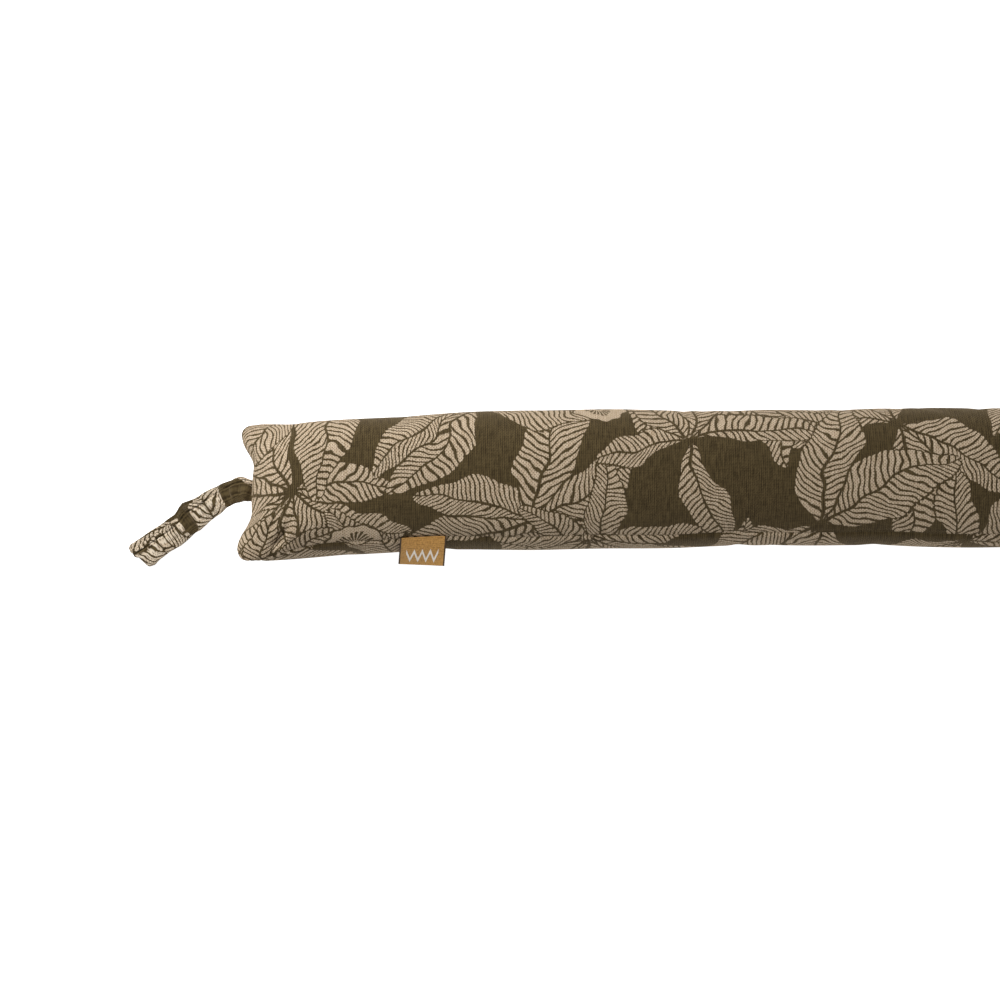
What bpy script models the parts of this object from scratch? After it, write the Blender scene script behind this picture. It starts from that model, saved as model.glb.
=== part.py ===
"""A stuffed draught excluder, lying on its back as it is laid out to be seen.

The cover is one rectangle of cloth. A lengthwise seam makes it a tube, which is filled and sewn flat
across both ends, so each end is a ridge with a soft corner at either side. The lengthwise seam has
rolled up onto the front, and because the cloth isn't twisted, both end ridges slope with it. A cloth
strap, doubled into a hanging loop, is caught in the middle of the left end seam, and a folded side
label in the lengthwise seam.

Metres. X runs along the excluder, Y across it with the label side at -Y, and Z is up. The origin is
the middle of the face that the excluder rests on.
"""

import functools
import math

import bmesh
import bpy
from mathutils import Vector

# Body
BODY_LENGTH = 0.900
BODY_WIDTH = 0.138
BODY_DEPTH = 0.086
PRESSED_FLAT = 0.006  # how much of the oval the floor flattens
FULLNESS = 2.35  # 2 is an ellipse, and more has squarer shoulders
LEFT_DROOP = 0.0104  # how far the left end lies off line, towards the label side
RIGHT_DROOP = 0.004
DROOP_HOLDS = 0.075  # distance from the end where the body starts to come back into line
DROOP_REACH = 0.085
DROOP_SOFTENS = 0.020

# Seams
SEAM_OUT = 0.056  # from the middle line out to the lengthwise seam
SEAM_SLOPE = math.radians(25)  # of each end ridge, from the floor
SEAM_VALLEY = 0.0016
SEAM_VALLEY_REACH = 0.0030
END_RIDGE = 0.152  # length of a gathered end seam
END_RIDGE_THICK = 0.0044
END_RIDGE_HEIGHT = 0.041  # of its middle
END_FILLS_OVER = 0.105  # from the flat ridge to the full oval
CORNER_REACH = 0.012  # how far a corner stands out past the middle of its ridge
CORNER_STARTS = 0.30  # share of the half ridge where a corner begins to stand out
CORNER_STANDS = 0.84  # and where it is fully out
CORNER_ROUND = 0.012
PUCKER = 0.0013  # height of the gathers beside an end seam
PUCKERS = 4  # across each face
LUMP = 0.0011  # unevenness of the filling
DIMPLE = 0.0040  # depth of the fold behind the left end's front corner
DIMPLE_IN = 0.040  # its place, in from the end
DIMPLE_ROUND = 0.013  # and round from the lengthwise seam
DIMPLE_LONG = 0.009
DIMPLE_WIDE = 0.010
CLEAR_OF_FLOOR = 0.012  # height where the unevenness is whole

# Hanging loop
STRAP_WIDTH = 0.0245
STRAP_ROOT_WIDTH = 0.021
STRAP_THICK = 0.0026
LEGS_APART = 0.0008  # between the two legs of the loop
EYE_APART = 0.0030  # and at the fold
LEGS_FAN = 0.0027  # how far each leg slides sideways at the fold
LOOP_UNTWISTS_OVER = 0.055

# Side label
LABEL_WIDTH = 0.046
LABEL_LENGTH = 0.033
LABEL_THICK = 0.0012
LABEL_AT = -0.266  # its middle, along the excluder
LABEL_DROP_LEFT = math.radians(45)
LABEL_DROP_RIGHT = math.radians(30)
LABEL_LEAN = 0.0028  # how far its free edge hangs to the left

PIECE_GAP = 0.0003

# Fineness
END_RINGS = 13
MIDDLE_RINGS = 46
FACE_STEPS = 20
OVAL_STEPS = 720
LOOP_STEPS = 26
TURN_STEPS = 8
LABEL_STEPS = 8
LABEL_ROWS = 6

HALF_LENGTH = BODY_LENGTH / 2
OVAL_HALF_DEPTH = (BODY_DEPTH + PRESSED_FLAT) / 2
OVAL_MIDDLE = OVAL_HALF_DEPTH - PRESSED_FLAT


def signed_power(value, power):
    return math.copysign(abs(value) ** power, value)


def eased(value):
    """0 to 1 with level ends."""
    held = min(1.0, max(0.0, value))
    return held * held * (3 - 2 * held)


def oval_outline():
    """The full cross-section as (y, z), from the -Y side over the top and back under."""
    points = []
    for step in range(OVAL_STEPS + 1):
        angle = 2 * math.pi * step / OVAL_STEPS
        across = -BODY_WIDTH / 2 * signed_power(math.cos(angle), 2 / FULLNESS)
        up = OVAL_MIDDLE + OVAL_HALF_DEPTH * signed_power(math.sin(angle), 2 / FULLNESS)
        points.append((across, max(0.0, up)))
    return points


def measured_oval():
    """The cross-section starting at the lengthwise seam, with the distance round to each point."""
    outline = oval_outline()[:-1]
    start = next(i for i, (across, _) in enumerate(outline) if across > -SEAM_OUT)
    turned = outline[start:] + outline[: start + 1]
    distances = [0.0]
    for before, after in zip(turned, turned[1:]):
        distances.append(distances[-1] + math.dist(before, after))
    return turned, distances


OVAL, OVAL_DISTANCES = measured_oval()
OVAL_ROUND = OVAL_DISTANCES[-1]


def oval_point(share):
    """(y, z) of the full cross-section at a share of the way round from the seam, over the top."""
    wanted = (share % 1.0) * OVAL_ROUND
    low, high = 0, len(OVAL) - 1
    while high - low > 1:
        middle = (low + high) // 2
        if OVAL_DISTANCES[middle] <= wanted:
            low = middle
        else:
            high = middle
    span = OVAL_DISTANCES[high] - OVAL_DISTANCES[low]
    part = (wanted - OVAL_DISTANCES[low]) / span
    return tuple(a + part * (b - a) for a, b in zip(OVAL[low], OVAL[high]))


def ridge_place(share):
    """Where a share of the way round falls along an end ridge: 1 at the seam's corner, -1 at the other."""
    return 1 - 4 * share if share <= 0.5 else 4 * share - 3


def ridge_point(share):
    """(y, z) of the flat, closed end at a share of the way round."""
    place = ridge_place(share)
    side = 1 if share <= 0.5 else -1
    along = END_RIDGE / 2 * place
    thick = side * END_RIDGE_THICK / 2 * math.sqrt(max(0.0, 1 - place**8))
    across = -along * math.cos(SEAM_SLOPE) + thick * math.sin(SEAM_SLOPE)
    up = END_RIDGE_HEIGHT + along * math.sin(SEAM_SLOPE) + thick * math.cos(SEAM_SLOPE)
    return across, up


def end_inset(place):
    """How far an end ridge lies in from the end of the excluder: least just inside its corners."""
    standing = eased((abs(place) - CORNER_STARTS) / (CORNER_STANDS - CORNER_STARTS))
    drawn_in = CORNER_REACH * (1 - standing)
    corner_starts = 1 - 2 * CORNER_ROUND / END_RIDGE
    into_corner = max(0.0, (abs(place) - corner_starts) / (1 - corner_starts))
    return drawn_in + CORNER_ROUND * (1 - math.sqrt(max(0.0, 1 - into_corner**2)))


def lump(along, share):
    turn = 2 * math.pi * share
    slow = math.cos(2 * math.pi * (along + 0.11) / 0.42 + 0.5 * math.sin(turn))
    quick = math.sin(2 * math.pi * along / 0.143 + 2.3 * math.cos(turn) + 0.4)
    return LUMP * (slow + 0.6 * quick)


def valley(share):
    off_seam = min(share, 1 - share) * OVAL_ROUND
    return SEAM_VALLEY * math.exp(-((off_seam / SEAM_VALLEY_REACH) ** 2))


def dimple(along, share):
    if share > 0.5:
        return 0.0
    in_from_end = (HALF_LENGTH + along - DIMPLE_IN) / DIMPLE_LONG
    round_from_seam = (share * OVAL_ROUND - DIMPLE_ROUND) / DIMPLE_WIDE
    return DIMPLE * math.exp(-(in_from_end**2) - round_from_seam**2)


def droop(along):
    past = (HALF_LENGTH - abs(along) - DROOP_HOLDS) / DROOP_SOFTENS
    softened = DROOP_SOFTENS * math.log1p(math.exp(past))
    most = LEFT_DROOP if along < 0 else RIGHT_DROOP
    return -most * math.exp(-softened / DROOP_REACH)


def section_point(full, share):
    """(y, z) on the cross-section that is this far between the flat ridge, 0, and the full oval, 1."""
    return tuple(a + full * (b - a) for a, b in zip(ridge_point(share), oval_point(share)))


@functools.lru_cache(maxsize=None)
def section_span(full):
    """Middle and width of a cross-section across the excluder."""
    sides = [section_point(full, step / 160)[0] for step in range(160)]
    return (max(sides) + min(sides)) / 2, max(sides) - min(sides)


def body_point(side, from_end, share):
    """A point of the body: side is -1 for the left half, from_end 0 at the ridge and 1 where it is full."""
    place = ridge_place(share)
    full = (1 - (1 - min(1.0, from_end)) ** 2) ** 0.6
    inset = end_inset(place)
    if from_end <= 1:
        distance = inset + from_end * (END_FILLS_OVER - inset)
    else:
        distance = END_FILLS_OVER + (from_end - 1) * (HALF_LENGTH - END_FILLS_OVER)
    along = side * (HALF_LENGTH - distance)

    across, up = section_point(full, share)
    middle, width = section_span(full)
    across = (across - middle) * BODY_WIDTH / width

    gather = PUCKER * math.exp(-from_end / 0.3) * math.sin(math.pi * min(1.0, from_end * 3))
    ripple = gather * math.cos(PUCKERS * math.pi * place + 0.6) * (1 - place**2)
    oval_across, oval_up = oval_point(share)
    out = Vector((oval_across, oval_up - OVAL_MIDDLE)).normalized()
    stand = full * (lump(along, share) - valley(share)) + ripple - dimple(along, share)
    stand *= eased(oval_up / CLEAR_OF_FLOOR)
    across += stand * out.x
    up += stand * out.y
    return Vector((along, across + droop(along), max(0.0, up)))


def ring_shares():
    """Shares of the way round for one ring, the same on both faces, and closer beside the seam."""
    beside_seam = [0.0, 0.0042, 0.0115]
    spread = [
        beside_seam[-1] + (0.5 - beside_seam[-1]) * step / FACE_STEPS
        for step in range(1, FACE_STEPS + 1)
    ]
    front = beside_seam + spread
    return front + [1 - share for share in reversed(front[1:-1])]


def body_stations():
    """(side, from_end) of each ring, left to right, closer together at the ends."""
    ending = [1 - math.cos(math.pi / 2 * step / END_RINGS) for step in range(END_RINGS)]
    left = [(-1, station) for station in ending]
    middle = []
    for step in range(MIDDLE_RINGS + 1):
        place = 2 * step / MIDDLE_RINGS - 1
        middle.append((-1 if place < 0 else 1, 2 - abs(place)))
    return left + middle + [(1, station) for station in reversed(ending)]


def mesh_object(name, build_mesh, material):
    """A new object with the mesh that build_mesh fills in."""
    mesh = bpy.data.meshes.new(name)
    work = bmesh.new()
    build_mesh(work)
    bmesh.ops.recalc_face_normals(work, faces=work.faces)
    work.to_mesh(mesh)
    work.free()
    mesh.shade_smooth()
    mesh.set_sharp_from_angle(angle=math.radians(50))
    mesh.materials.append(material)
    made = bpy.data.objects.new(name, mesh)
    bpy.context.scene.collection.objects.link(made)
    return made


def join_rings(work, rings):
    """Quads between each ring of vertices and the next."""
    for before, after in zip(rings, rings[1:]):
        count = len(before)
        for i in range(count):
            j = (i + 1) % count
            work.faces.new((before[i], before[j], after[j], after[i]))


def close_ridge(work, ring):
    """Closes a flat ring by sewing its front half to its back half."""
    count = len(ring)
    work.faces.new((ring[0], ring[1], ring[count - 1]))
    for i in range(1, count // 2 - 1):
        work.faces.new((ring[i], ring[i + 1], ring[count - i - 1], ring[count - i]))
    middle = count // 2
    work.faces.new((ring[middle - 1], ring[middle], ring[middle + 1]))


def fill_body(work):
    shares = ring_shares()
    rings = []
    for side, from_end in body_stations():
        rings.append([work.verts.new(body_point(side, from_end, s)) for s in shares])
    join_rings(work, rings)
    close_ridge(work, rings[0])
    close_ridge(work, rings[-1])


# Middle line of the pair of legs, out from the end seam: along -X, across in Y, and height over the floor
LOOP_ROUTE = (
    # out, across, height
    (0.000, 0.000, 0.0410),
    (0.017, 0.001, 0.0390),
    (0.041, -0.013, 0.0240),
    (0.064, -0.030, 0.0085),
    (0.090, -0.0485, 0.0036),
    (0.116, -0.0665, 0.0036),
)


def loop_root():
    """The middle of the left end ridge, a hair outside it."""
    ridge = body_point(-1, 0, 0.25)
    return Vector((ridge.x - PIECE_GAP, ridge.y, 0.0))


def loop_middle(part):
    """A point on the smooth curve through the loop's route: part is 0 at the seam and 1 at the fold."""
    spans = len(LOOP_ROUTE) - 1
    index = min(int(part * spans), spans - 1)
    t = part * spans - index
    rows = [LOOP_ROUTE[min(max(index + k, 0), spans)] for k in (-1, 0, 1, 2)]
    a, b, c, d = (Vector((-out, across, height)) for out, across, height in rows)
    curve = b * 2 + (c - a) * t
    curve += (a * 2 - b * 5 + c * 4 - d) * t**2
    curve += (b * 3 - a - c * 3 + d) * t**3
    return loop_root() + curve / 2


def loop_frame(part):
    """(middle, forward, sideways, up) of the pair of legs."""
    step = 0.004
    middle = loop_middle(part)
    ahead = loop_middle(min(1.0, part + step)) - loop_middle(max(0.0, part - step))
    forward = ahead.normalized() if part > step else Vector((-1, 0, 0))
    untwisted = eased((middle - loop_middle(0)).length / LOOP_UNTWISTS_OVER)
    slope = SEAM_SLOPE * (1 - untwisted)
    level = Vector((forward.y, -forward.x, 0)).normalized()
    if part <= step:
        level = Vector((0, 1, 0))
    sideways = level * math.cos(slope) - Vector((0, 0, math.sin(slope)))
    sideways = (sideways - forward * sideways.dot(forward)).normalized()
    return middle, forward, sideways, sideways.cross(forward)


def legs_apart(part):
    return LEGS_APART + (EYE_APART - LEGS_APART) * eased((part - 0.72) / 0.28)


def strap_width(part):
    return STRAP_ROOT_WIDTH + (STRAP_WIDTH - STRAP_ROOT_WIDTH) * eased(part / 0.35)


def strap_stations():
    """(middle, sideways, up, width) of each section of the strap: out below, round the fold, back above."""
    stations = []
    for step in range(LOOP_STEPS):
        part = step / LOOP_STEPS
        middle, _, sideways, up = loop_frame(part)
        radius = (legs_apart(part) + STRAP_THICK) / 2
        slide = LEGS_FAN * eased(part)
        stations.append((middle - up * radius + sideways * slide, sideways, up, strap_width(part)))
    middle, forward, sideways, up = loop_frame(1.0)
    radius = (EYE_APART + STRAP_THICK) / 2
    for step in range(TURN_STEPS + 1):
        angle = math.pi * step / TURN_STEPS
        outward = forward * math.sin(angle) - up * math.cos(angle)
        slide = LEGS_FAN * math.cos(angle)
        stations.append((middle + outward * radius + sideways * slide, sideways, -outward, STRAP_WIDTH))
    for step in reversed(range(LOOP_STEPS)):
        part = step / LOOP_STEPS
        middle, _, sideways, up = loop_frame(part)
        radius = (legs_apart(part) + STRAP_THICK) / 2
        slide = LEGS_FAN * eased(part)
        stations.append((middle + up * radius - sideways * slide, sideways, -up, strap_width(part)))
    return stations


def strap_section(middle, sideways, up, width):
    """Eight corners of the strap's cross-section, its long edges softened."""
    soft = STRAP_THICK * 0.3
    half_width, half_thick = width / 2, STRAP_THICK / 2
    quarter = ((half_width, half_thick - soft), (half_width - 2 * soft, half_thick))
    corners = list(quarter)
    corners += [(-x, y) for x, y in reversed(quarter)]
    corners += [(-x, -y) for x, y in quarter]
    corners += [(x, -y) for x, y in reversed(quarter)]
    points = [middle + sideways * x + up * y for x, y in corners]
    return [Vector((p.x, p.y, max(0.0, p.z))) for p in points]


def fill_loop(work):
    rings = []
    for station in strap_stations():
        rings.append([work.verts.new(point) for point in strap_section(*station)])
    join_rings(work, rings)
    work.faces.new(rings[0])
    work.faces.new(rings[-1])


def label_line(place):
    """The label's middle surface at a place across it, from -1 at its left edge to 1: (y, z) points."""
    along = LABEL_AT + place * LABEL_WIDTH / 2
    from_end = 1 + (HALF_LENGTH + along - END_FILLS_OVER) / (HALF_LENGTH - END_FILLS_OVER)
    seam = body_point(-1, from_end, 0.0)
    steepest = LABEL_DROP_LEFT + (LABEL_DROP_RIGHT - LABEL_DROP_LEFT) * (place + 1) / 2
    lift = PIECE_GAP + LABEL_THICK
    across, up = seam.y, seam.z + lift
    points = []
    for step in range(LABEL_STEPS + 1):
        slope = steepest * (0.62 + 0.38 * eased(step / LABEL_STEPS * 1.6))
        leaned = along - LABEL_LEAN * step / LABEL_STEPS
        points.append((Vector((leaned, across, up)), slope))
        across -= LABEL_LENGTH / LABEL_STEPS * math.cos(slope)
        up -= LABEL_LENGTH / LABEL_STEPS * math.sin(slope)
    return points


def fill_label(work):
    lines = [label_line(2 * row / LABEL_ROWS - 1) for row in range(LABEL_ROWS + 1)]
    rings = []
    for step in range(LABEL_STEPS + 1):
        top, bottom = [], []
        for line in lines:
            point, slope = line[step]
            half = Vector((0, -math.sin(slope), math.cos(slope))) * LABEL_THICK / 2
            top.append(work.verts.new(point + half))
            bottom.append(work.verts.new(point - half))
        rings.append(top + bottom[::-1])
    join_rings(work, rings)
    for ring in (rings[0], rings[-1]):
        count = len(ring)
        for i in range(count // 2 - 1):
            work.faces.new((ring[i], ring[i + 1], ring[count - 2 - i], ring[count - 1 - i]))


def cloth_material(name, colour, roughness):
    material = bpy.data.materials.new(name)
    material.use_nodes = True
    shader = material.node_tree.nodes["Principled BSDF"]
    shader.inputs["Base Color"].default_value = (*colour, 1)
    shader.inputs["Roughness"].default_value = roughness
    shader.inputs["Metallic"].default_value = 0.0
    material.diffuse_color = (*colour, 1)
    return material


def clear_scene():
    for old in list(bpy.data.objects):
        bpy.data.objects.remove(old)


def main():
    clear_scene()
    printed_cotton = cloth_material("printed_cotton", (0.17, 0.12, 0.07), 0.9)
    strap_cotton = cloth_material("strap_cotton", (0.20, 0.14, 0.08), 0.9)
    woven_label = cloth_material("woven_label", (0.30, 0.16, 0.05), 0.75)
    mesh_object("filled_body", fill_body, printed_cotton)
    mesh_object("hanging_loop", fill_loop, strap_cotton)
    mesh_object("side_label", fill_label, woven_label)


main()
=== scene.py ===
import math

import bmesh
import bpy
import numpy as np
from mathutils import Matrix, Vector


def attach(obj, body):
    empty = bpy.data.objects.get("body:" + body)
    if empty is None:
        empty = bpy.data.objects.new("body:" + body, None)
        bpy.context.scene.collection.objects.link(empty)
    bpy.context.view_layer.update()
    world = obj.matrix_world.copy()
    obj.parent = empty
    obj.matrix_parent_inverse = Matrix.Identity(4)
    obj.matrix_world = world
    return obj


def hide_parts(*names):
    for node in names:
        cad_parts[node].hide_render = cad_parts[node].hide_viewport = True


# A stuffed draught excluder of leaf-printed cotton, laid on its back, seen from straight above.
# Metres and radians, unless a name ends in Mm. The print is drawn in millimetres of flat cloth.

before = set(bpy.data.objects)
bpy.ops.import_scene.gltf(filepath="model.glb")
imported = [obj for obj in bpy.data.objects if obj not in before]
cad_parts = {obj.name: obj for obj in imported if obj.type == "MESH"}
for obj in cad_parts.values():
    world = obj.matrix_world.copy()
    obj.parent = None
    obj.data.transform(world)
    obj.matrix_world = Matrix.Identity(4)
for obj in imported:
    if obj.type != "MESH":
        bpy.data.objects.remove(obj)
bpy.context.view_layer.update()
scene = bpy.context.scene


def linearColour(hexColour):
    channels = [int(hexColour[i:i + 2], 16) / 255 for i in (1, 3, 5)]
    return tuple(c / 12.92 if c <= 0.04045 else ((c + 0.055) / 1.055) ** 2.4 for c in channels) + (1.0,)


def emptyTree(owner):
    owner.use_nodes = True
    owner.node_tree.nodes.clear()
    return owner.node_tree


def addNode(tree, kind, inputs=(), out=0, **settings):
    # One node with its settings and links. Inputs are a list by place or a dictionary by name.
    made = tree.nodes.new(kind)
    for name, value in settings.items():
        setattr(made, name, value)
    places = inputs.items() if isinstance(inputs, dict) else enumerate(inputs)
    for place, value in places:
        if isinstance(value, bpy.types.NodeSocket):
            tree.links.new(value, made.inputs[place])
        elif value is not None:
            made.inputs[place].default_value = value
    return made if out is None else made.outputs[out]


def smoothShare(value):
    held = np.clip(value, 0, 1)
    return held * held * (3 - 2 * held)


# The filled body. The sizes down to clearOfFloor are the solid's own.
body = {
    "length": 0.900,
    "width": 0.138,
    "depth": 0.086,
    "pressedFlat": 0.006,
    "fullness": 2.35,
    "seamOut": 0.056,
    "seamSlope": math.radians(25),
    "endRidge": 0.152,
    "ridgeThick": 0.0044,
    "ridgeHeight": 0.041,
    "fillsOver": 0.105,
    "cornerReach": 0.012,
    "cornerStarts": 0.30,
    "cornerStands": 0.84,
    "cornerRound": 0.012,
    "droop": (0.0104, 0.004),  # left and right end
    "droopHolds": 0.075,
    "droopReach": 0.085,
    "droopSoftens": 0.020,
    "lump": 0.0011,
    "clearOfFloor": 0.012,
    "cellSize": 0.005,  # of the simulated cloth
    "endRings": 16,
    "fineRings": 28,  # with twice the rings again, at each end
    "simFrames": 18,
    "pressure": 2.6,
    "gatherSlack": 0.05,  # spare cloth at the end seams
    "slackReach": 0.5,
    "broadTimes": 60,
    "noiseTimes": 2,
    "mostMove": 0.0050,
    "seamValley": 0.0017,
    "seamReach": 0.0030,
    "seamFades": 0.020,  # towards the end seams
    "seamPucker": 0.00035,
    "seamPuckerLong": 0.011,
    "puckerOff": 0.005,  # from the seam, and how wide the puckered strip is
    "puckerWide": 0.0045,
    "lipDeep": 0.0012,
    "lipShare": 0.62,  # of the way in from the face to the middle of the end ridge
    "lipCloth": 0.0015,  # cloth in the lip, and in the joint under it
    "jointCloth": 0.002,
    "restsBelow": 0.004,  # height where the folds start to fade, because the floor holds the cloth flat
    "fill": 0.85,
}
halfLength = body["length"] / 2
ovalHalfDepth = (body["depth"] + body["pressedFlat"]) / 2
ovalMiddle = ovalHalfDepth - body["pressedFlat"]

# Creases and tucks pressed into the cloth, in mm of flat cloth and degrees
folds = (
    # along, round from the lengthwise seam, half length, half width, depth, turn
    (48, 17, 14, 9, 2.8, 56),
    (50, 18, 11, 4.2, 6.2, 56),
    (38, 27, 16, 4.5, 1.3, 70),
    (60, 9, 14, 4, 1.0, -20),
    (30, 366, 12, 5, 1.6, 60),
    (52, 371, 10, 4, 1.1, 30),
    (34, 158, 12, 5, 1.3, -50),
    (56, 150, 16, 4, 0.9, -25),
    (26, 96, 11, 4, 0.8, 5),
    (12, 44, 10, 3.2, 0.9, 8),
    (10, 62, 8, 3.0, 0.8, -7),
    (13, 84, 11, 3.2, 0.7, 4),
    (11, 122, 9, 3.0, 0.9, -9),
    (20, 148, 11, 3.4, 1.3, -34),
    (70, 60, 22, 5, 0.5, 12),
    (660, 148, 30, 7, 1.2, 24),
    (700, 140, 26, 6, 1.0, -28),
    (748, 152, 22, 6, 1.2, 40),
    (498, 150, 26, 8, 0.9, -12),
    (872, 20, 12, 6, 1.6, -40),
    (880, 150, 12, 6, 1.4, 45),
)


def ovalTable():
    angle = np.linspace(0, 2 * math.pi, 2881)[:-1]
    power = 2 / body["fullness"]
    across = -body["width"] / 2 * np.sign(np.cos(angle)) * np.abs(np.cos(angle)) ** power
    up = ovalMiddle + ovalHalfDepth * np.sign(np.sin(angle)) * np.abs(np.sin(angle)) ** power
    up = np.maximum(up, 0)
    start = int(np.argmax(across > -body["seamOut"]))
    across = np.append(np.roll(across, -start), across[start])
    up = np.append(np.roll(up, -start), up[start])
    distance = np.concatenate([[0], np.cumsum(np.hypot(np.diff(across), np.diff(up)))])
    return across, up, distance


ovalAcross, ovalUp, ovalDistance = ovalTable()
ovalRound = float(ovalDistance[-1])  # flat width of the cloth between its long edges


def sectionPoints(full, shares):
    # A cross-section between the flat end ridge, 0, and the full oval, 1
    place = np.where(shares <= 0.5, 1 - 4 * shares, 4 * shares - 3)
    side = np.where(shares <= 0.5, 1, -1)
    along = body["endRidge"] / 2 * place
    thick = side * body["ridgeThick"] / 2 * np.sqrt(np.maximum(0, 1 - place**8))
    slope = body["seamSlope"]
    ridgeAcross = -along * math.cos(slope) + thick * math.sin(slope)
    ridgeUp = body["ridgeHeight"] + along * math.sin(slope) + thick * math.cos(slope)
    fullAcross = np.interp(shares * ovalRound, ovalDistance, ovalAcross)
    fullUp = np.interp(shares * ovalRound, ovalDistance, ovalUp)
    across = ridgeAcross + full * (fullAcross - ridgeAcross)
    up = ridgeUp + full * (fullUp - ridgeUp)
    return across, up, fullAcross, fullUp, place


def bodyRing(side, fromEnd, shares, slack=0.0):
    full = (1 - (1 - min(1.0, fromEnd)) ** 2) ** 0.6
    across, up, fullAcross, fullUp, place = sectionPoints(full, shares)
    evenAcross = sectionPoints(full, np.linspace(0, 1, 161)[:-1])[0]
    low, high = evenAcross.min(), evenAcross.max()
    across = (across - (low + high) / 2) * body["width"] / (high - low)

    reach = np.abs(place)
    standing = smoothShare((reach - body["cornerStarts"]) / (body["cornerStands"] - body["cornerStarts"]))
    cornerFrom = 1 - 2 * body["cornerRound"] / body["endRidge"]
    intoCorner = np.clip((reach - cornerFrom) / (1 - cornerFrom), 0, 1)
    inset = body["cornerReach"] * (1 - standing)
    inset = inset + body["cornerRound"] * (1 - np.sqrt(np.maximum(0, 1 - intoCorner**2)))
    if fromEnd <= 1:
        distance = inset + fromEnd * (body["fillsOver"] - inset)
    else:
        distance = body["fillsOver"] + (fromEnd - 1) * (halfLength - body["fillsOver"]) + 0 * inset
    along = side * (halfLength - distance)

    # the unevenness of the filling, as the solid has it
    turn = 2 * math.pi * shares
    slow = np.cos(2 * math.pi * (along + 0.11) / 0.42 + 0.5 * np.sin(turn))
    quick = np.sin(2 * math.pi * along / 0.143 + 2.3 * np.cos(turn) + 0.4)
    stand = full * body["lump"] * (slow + 0.6 * quick) * smoothShare(fullUp / body["clearOfFloor"])
    outLength = np.hypot(fullAcross, fullUp - ovalMiddle)
    across = across + stand * fullAcross / outLength
    up = up + stand * (fullUp - ovalMiddle) / outLength

    if slack:
        swell = 1 + slack * math.exp(-fromEnd / body["slackReach"])
        across = across * swell
        up = body["ridgeHeight"] + (up - body["ridgeHeight"]) * swell
    past = (halfLength - np.abs(along) - body["droopHolds"]) / body["droopSoftens"]
    most = np.where(along < 0, body["droop"][0], body["droop"][1])
    droop = -most * np.exp(-body["droopSoftens"] * np.log1p(np.exp(past)) / body["droopReach"])
    return np.stack([along, across + droop, np.maximum(up, 0)], axis=1)


def bodyStations():
    ending = [1 - math.cos(math.pi / 2 * step / body["endRings"]) for step in range(body["endRings"])]
    middleSteps = round((body["length"] - 2 * body["fillsOver"]) / body["cellSize"])
    places = [2 * step / middleSteps - 1 for step in range(middleSteps + 1)]
    middle = [(-1 if place < 0 else 1, 2 - abs(place)) for place in places]
    return [(-1, e) for e in ending] + middle + [(1, e) for e in reversed(ending)]


def ringShares():
    beside = np.array([0.0, 0.0016, 0.0040, 0.0080]) / ovalRound
    steps = round((ovalRound / 2 - 0.0080) / body["cellSize"])
    front = np.concatenate([beside, beside[-1] + (0.5 - beside[-1]) * np.arange(1, steps + 1) / steps])
    return np.concatenate([front, 1 - front[1:-1][::-1]])


def ringFaces(rings, count):
    faces = []
    for i in range(rings - 1):
        for j in range(count):
            k = (j + 1) % count
            faces.append((i * count + j, i * count + k, (i + 1) * count + k, (i + 1) * count + j))
    return faces


def ridgeFaces(first, count, turned):
    # Sews the front half of an end ring to its back half
    strips = [(0, 1, count - 1)] + [(j, j + 1, count - j - 1, count - j) for j in range(1, count // 2 - 1)]
    strips.append((count // 2 - 1, count // 2, count // 2 + 1))
    return [tuple(first + j for j in (strip if turned else strip[::-1])) for strip in strips]


def closedFaces(rings, count):
    last = (rings - 1) * count
    return ringFaces(rings, count) + ridgeFaces(0, count, True) + ridgeFaces(last, count, False)


def newPiece(name, points, faces, smooth=True):
    mesh = bpy.data.meshes.new(name)
    mesh.from_pydata([tuple(p) for p in np.asarray(points, float).reshape(-1, 3)], [], faces)
    mesh.update()
    if smooth:
        mesh.shade_smooth()
    made = bpy.data.objects.new(name, mesh)
    scene.collection.objects.link(made)
    return made


def pointOut(piece):
    work = bmesh.new()
    work.from_mesh(piece.data)
    bmesh.ops.recalc_face_normals(work, faces=work.faces)
    work.to_mesh(piece.data)
    work.free()
    piece.data.update()


def settleCloth(grid, restGrid):
    # Blows the cover up from inside as its filling does, so that the spare cloth at the ends gathers
    rings, count = grid.shape[:2]
    cover = newPiece("coverForCloth", grid, closedFaces(rings, count))
    pointOut(cover)
    cover.shape_key_add(name="asFilled", from_mix=False)
    cut = cover.shape_key_add(name="asCut", from_mix=False)
    cut.data.foreach_set("co", restGrid.astype(np.float32).ravel())
    cut.value = 0
    cloth = cover.modifiers.new("cloth", "CLOTH")
    settings = cloth.settings
    settings.quality = 6
    settings.mass = 0.25
    settings.tension_stiffness = 18
    settings.compression_stiffness = 18
    settings.shear_stiffness = 6
    settings.bending_stiffness = 0.35
    settings.use_pressure = True
    settings.uniform_pressure_force = body["pressure"]
    settings.effector_weights.gravity = 0
    settings.rest_shape_key = cut
    cloth.collision_settings.use_collision = False
    cloth.point_cache.frame_start = 1
    cloth.point_cache.frame_end = body["simFrames"]
    for step in range(1, body["simFrames"] + 1):
        scene.frame_set(step)
    settled = cover.evaluated_get(bpy.context.evaluated_depsgraph_get())
    flat = np.empty(rings * count * 3, np.float32)
    settled.data.vertices.foreach_get("co", flat)
    scene.frame_set(1)
    bpy.data.objects.remove(cover)
    moved = flat.reshape(rings, count, 3).astype(float) - grid
    print("cloth moved", [round(float(v), 4) for v in np.abs(moved).max(axis=(0, 1))])
    gathers = moved - evenOut(moved, body["broadTimes"])  # the broad swelling goes, since the solid has it
    far = np.linalg.norm(gathers, axis=2, keepdims=True)
    cap = body["mostMove"]
    return grid + gathers * (cap * np.tanh(far / cap) / np.maximum(far, 1e-9))


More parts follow.
